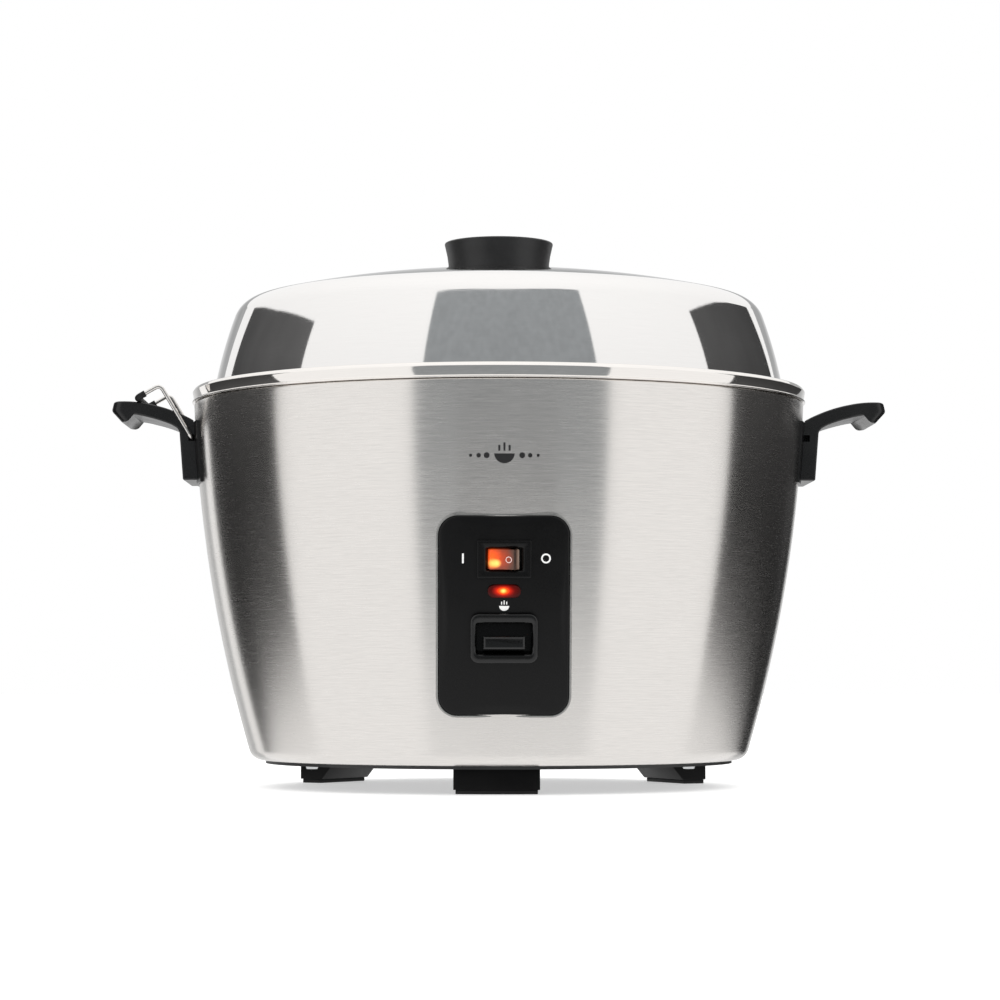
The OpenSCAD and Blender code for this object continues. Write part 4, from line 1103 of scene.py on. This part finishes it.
class COOKER_OT_lid(CookerOperator, bpy.types.Operator):
    """The polished domed lid with its rolled edge, the knob, its washer and screw"""

    bl_idname = "cooker.lid"
    bl_label = "Lid and knob"

    def build(self, size):
        outer, inner = lid_outline(0), lid_outline(-SHEET)
        bead = arc(outer[-1][0] - 0.4, 187.25, 1.0, 40, -220, 20)
        verts, faces = revolve(outer + bead + inner[::-1], 384)
        piece("lid_dome_spun", "lid", finish("mirror_lid"), verts, faces, ("lid_dome",), 30)

        foot_z, foot_r, top_r, top_z, crown, round_r = 255.4, 25.0, 27.0, 271.0, 1.0, 0.9
        crown_r = (top_r ** 2 + crown ** 2) / (2 * crown)
        edge_a = math.degrees(math.asin((top_r - round_r) / crown_r))
        edge_z = top_z - crown_r + crown_r * math.cos(math.radians(edge_a)) - round_r
        profile = ([(0, foot_z), (foot_r - 0.8, foot_z)] + arc(foot_r - 0.8, foot_z + 0.8, 0.8, -90, 0, 5)
                   + [(foot_r + 0.15, foot_z + 4), (foot_r + 0.7, foot_z + 8)]
                   + arc(top_r - round_r, edge_z, round_r, 0, 84, 10)
                   + arc(0, top_z - crown_r, crown_r, 90 - edge_a, 90, 16))
        profile[-1] = (0.0, top_z)
        verts, faces = revolve(profile, 192)
        piece("lid_knob_moulded", "lid", finish("knob_phenolic"), verts, faces, ("lid_knob",), 30)
        repaint("rubber_black", "knob_washer")
        repaint("zinc", "knob_screw")


class COOKER_OT_pot(CookerOperator, bpy.types.Operator):
    """The inner pot, its own lid and that lid's knob"""

    bl_idname = "cooker.pot"
    bl_label = "Inner pot"

    def build(self, size):
        floor, rim, r, low, corner, thick, flange = 48.3, 168.0, 112.0, 108.0, 16.0, 1.0, 5.0
        lean = math.degrees(math.atan((r - low) / (rim - floor - corner)))

        def skin(grow):
            bend = arc(low - corner, floor + corner, corner + grow, -90, -lean, 14)
            return [(0, floor - grow), (50, floor - grow)] + bend

        edge = r + flange
        outer = skin(0) + [(r, rim - thick)] + arc(edge - 0.5, rim - 0.5, 0.5, -90, 90, 8)
        inner = skin(-thick) + [(r - thick, rim - 0.6), (r - thick + 0.5, rim)]
        verts, faces = revolve(outer + inner[::-1], 256)
        piece("inner_pot_spun", "pot", finish("satin_pot"), verts, faces, ("inner_pot",), 30)

        z, rise, wide = 168.3, 9.0, 115.0
        top = [(0, z + rise), (30, z + rise - 0.15), (60, z + rise - 0.8), (85, z + 6.4), (wide - 11.4, z + 4),
               (wide - 9.2, z + 2.2), (wide - 7.4, z + 0.8), (wide - 0.4, z + 0.8), (wide, z + 0.4)]
        under = [(wide - 0.4, z), (wide - 8, z), (wide - 12, z + 3.2), (85, z + 5.6), (60, z + rise - 1.6),
                 (30, z + rise - 0.95), (0, z + rise - 0.8)]
        verts, faces = revolve(top + under, 256)
        piece("pot_lid_spun", "pot_cover", finish("polished_cover"), verts, faces, ("pot_lid",), 28)
        base, tall = z + rise, 12.5
        profile = ([(0, base), (9, base), (7.8, base + 1.2), (7.1, base + 2.6), (7, base + 4),
                    (7.6, base + 5.6), (9.4, base + 6.9)]
                   + arc(10.5, base + 10, 2.5, -50, 90, 12) + [(6, base + tall), (0, base + tall)])
        verts, faces = revolve(profile, 128)
        piece("pot_lid_knob_moulded", "pot_cover", finish("knob_phenolic"), verts, faces,
              ("pot_lid_knob",), 35)


# ---------------------------------------------------------------- stage


def card(name, rows, colour, near=1.0, far=1.0, at_foot=1.0, at_top=1.0, low=0.0, high=1.0, halo=0.0):
    """A studio card through rows of points, seen only in reflections.

    Its glow goes from near to far across its rows and from at_foot to at_top between the heights low and high,
    as shares of the card's own height; a halo blends its middle towards that grey.
    """
    width = len(rows[0])
    mesh = bpy.data.meshes.new(name)
    mesh.from_pydata([Vector(p) for row in rows for p in row], [], [
        [i * width + j, i * width + j + 1, (i + 1) * width + j + 1, (i + 1) * width + j]
        for i in range(len(rows) - 1) for j in range(width - 1)])
    across = mesh.attributes.new("across", "FLOAT", "POINT")
    climb = mesh.attributes.new("climb", "FLOAT", "POINT")
    bottom, top = (pick(p[2] for row in rows for p in row) for pick in (min, max))
    for i, row in enumerate(rows):
        for j, p in enumerate(row):
            across.data[i * width + j].value = i / (len(rows) - 1)
            climb.data[i * width + j].value = (p[2] - bottom) / (top - bottom)
    obj = bpy.data.objects.new(name, mesh)
    bpy.context.scene.collection.objects.link(obj)
    material = bpy.data.materials.new(name)
    material.use_nodes = True
    tree = material.node_tree
    tree.nodes.clear()
    side = add(tree, "ShaderNodeAttribute", {"attribute_name": "across"}).outputs["Fac"]
    rise = add(tree, "ShaderNodeAttribute", {"attribute_name": "climb"}).outputs["Fac"]
    cloth = spread(tree, noise(tree, object_space(tree), 9.0, 5.0), 0.92, 1.08)
    level = math_node(tree, "MULTIPLY", spread(tree, side, near, far, 0, 1),
                      spread(tree, rise, at_foot, at_top, low, high))
    level = math_node(tree, "MULTIPLY", level, cloth)
    shown = add(tree, "ShaderNodeEmission", None, Color=(*colour, 1.0), Strength=level)
    if halo:
        from_middle = math_node(tree, "ABSOLUTE", math_node(tree, "MULTIPLY_ADD", side, 2.0, -1.0))
        above = math_node(tree, "MAXIMUM", math_node(tree, "MULTIPLY_ADD", rise, 2.4, -1.4), 0.0)
        reach = math_node(tree, "SQRT", math_node(tree, "ADD", math_node(tree, "POWER", from_middle, 2.0),
                                                  math_node(tree, "POWER", above, 2.0)))
        glow = spread(tree, reach, 1.0, 0.0, 0.15, 0.95)
        tint = blend_colour(tree, glow, (*colour, 1.0), (halo, halo, halo, 1.0))
        tree.links.new(tint, shown.inputs["Color"])
    out = add(tree, "ShaderNodeOutputMaterial")
    tree.links.new(shown.outputs[0], out.inputs["Surface"])
    mesh.materials.append(material)
    obj.visible_camera = False
    obj.visible_diffuse = False
    obj.visible_shadow = False


def round_card(name, radius, start, end, low, high, colour, sag=0.0, **glow):
    """A card on a circle round the cooker, between two angles from the front, positive to the right."""
    steps = 24
    rows = []
    for i in range(steps + 1):
        a = math.radians(start + (end - start) * i / steps)
        x, y = radius * math.sin(a), -radius * math.cos(a)
        rows.append([(x, y, low), (x, y, high - sag * (2 * i / steps - 1) ** 4)])
    card(name, rows, colour, **glow)


class COOKER_OT_stage(CookerOperator, bpy.types.Operator):
    """The pale floor, the light tent with its dark cards, and the camera"""

    bl_idname = "cooker.stage"
    bl_label = "Stage, lights and camera"

    def build(self, size):
        scene = bpy.context.scene
        scene.view_settings.view_transform = "Standard"
        scene.view_settings.look = "None"
        world = bpy.data.worlds.new("light_tent")
        scene.world = world
        world.use_nodes = True
        tree = world.node_tree
        coord = add(tree, "ShaderNodeTexCoord").outputs["Generated"]
        height = add(tree, "ShaderNodeSeparateXYZ", None, Vector=coord).outputs["Z"]
        tree.links.new(spread(tree, height, 1.0, 1.13, 0.3, 0.95), tree.nodes["Background"].inputs["Strength"])
        tree.nodes["Background"].inputs["Color"].default_value = (1.0, 1.0, 1.0, 1.0)

        reach = 6.0
        mesh = bpy.data.meshes.new("floor")
        corners = [(-reach, -reach, 0), (reach, -reach, 0), (reach, reach, 0), (-reach, reach, 0)]
        mesh.from_pydata(corners, [], [[0, 1, 2, 3]])
        floor = bpy.data.objects.new("floor", mesh)
        scene.collection.objects.link(floor)
        material, tree, shader = new_material("floor_white")
        shader.inputs["Base Color"].default_value = (0.85, 0.85, 0.85, 1.0)
        shader.inputs["Roughness"].default_value = 0.6
        shader.inputs["Emission Color"].default_value = (1.0, 1.0, 1.0, 1.0)
        shader.inputs["Emission Strength"].default_value = 0.5
        mesh.materials.append(material)
        floor.visible_glossy = False

        side, between = 0.46, (0.03, 0.19, 0.29)
        for name, x, glow, near_edge, far_edge, far_foot, top in (
                ("card_left", -side, 0.078, (-0.085, -0.09, -0.095, -0.112, -0.097),
                 (0.36, 0.36, 0.36, 0.36, 0.36), -0.12, 0.431),
                ("card_right", side, 0.062, (-0.07, -0.075, -0.075, -0.079, -0.066),
                 (0.95, 0.95, 0.95, 0.45, 0.4), -0.18, 0.445)):
            near = [(x, y, z) for y, z in zip(near_edge, (-0.04, *between, top))]
            middle = [(x, 0.12, z) for z in (-0.065, *between, top - 0.012)]
            far = [(x, y, z) for y, z in zip(far_edge, (far_foot, *between, 0.421))]
            card(name, [near, middle, far], (glow, glow, glow * 1.01), near=1.25, far=0.75,
                 at_foot=0.34, at_top=1.25, low=0.45, high=0.85)
        round_card("card_front", 2.3, -31.3, 38.5, -0.74, 2.55, (0.3, 0.317, 0.328), at_foot=0.92, at_top=1.12,
                   sag=0.17)
        round_card("card_camera", 2.2, -16.0, 20.0, -0.5, -0.17, (0.1, 0.1, 0.1))
        backdrop = [[(x, 1.6, z) for z in (-0.6, 0.8)] for x in (-1.05, -0.5, 0.0, 0.5, 1.05)]
        card("backdrop", backdrop, (0.4, 0.405, 0.41), halo=1.0)

        camera_data = bpy.data.cameras.new("camera")
        camera_data.sensor_width = 36.0
        camera_data.lens = 109.8
        camera_data.clip_start = 0.05
        camera = bpy.data.objects.new("camera", camera_data)
        scene.collection.objects.link(camera)
        distance, orbit, slide, eye_z, tilt_up = 1.515, math.radians(-1.0), 0.0006, 0.0562, 3.2277
        camera.location = (distance * math.sin(orbit) + slide, -distance * math.cos(orbit), eye_z)
        camera.rotation_euler = (math.radians(90 + tilt_up), 0.0, orbit)
        scene.camera = camera


# ---------------------------------------------------------------- the add-on

STEPS = (
    COOKER_OT_stage, COOKER_OT_shell, COOKER_OT_rim, COOKER_OT_pan, COOKER_OT_base, COOKER_OT_handles,
    COOKER_OT_stand, COOKER_OT_panel, COOKER_OT_switch, COOKER_OT_indicator, COOKER_OT_lever, COOKER_OT_heater,
    COOKER_OT_lid, COOKER_OT_pot,
)


class COOKER_PT_panel(bpy.types.Panel):
    """Lists the cooker's settings and the operators that build it"""

    bl_idname = "COOKER_PT_panel"
    bl_label = "Steam rice cooker"
    bl_space_type = "VIEW_3D"
    bl_region_type = "UI"
    bl_category = "Cooker"

    def draw(self, context):
        layout = self.layout
        for group in (context.scene.cooker_sizes, context.scene.cooker_looks):
            for key in group.__annotations__:
                layout.prop(group, key)
        for step in STEPS:
            layout.operator(step.bl_idname)


CLASSES = (CookerSizes, CookerLooks) + STEPS + (COOKER_PT_panel,)


def register():
    """Registers the classes and hangs the settings on the scene."""
    for cls in CLASSES:
        bpy.utils.register_class(cls)
    bpy.types.Scene.cooker_sizes = PointerProperty(type=CookerSizes)
    bpy.types.Scene.cooker_looks = PointerProperty(type=CookerLooks)


def unregister():
    """Takes the settings and the classes away again."""
    del bpy.types.Scene.cooker_looks
    del bpy.types.Scene.cooker_sizes
    for cls in reversed(CLASSES):
        bpy.utils.unregister_class(cls)


def main():
    register()
    for step in STEPS:
        group, name = step.bl_idname.split(".")
        getattr(getattr(bpy.ops, group), name)()


if __name__ == "__main__":
    main()
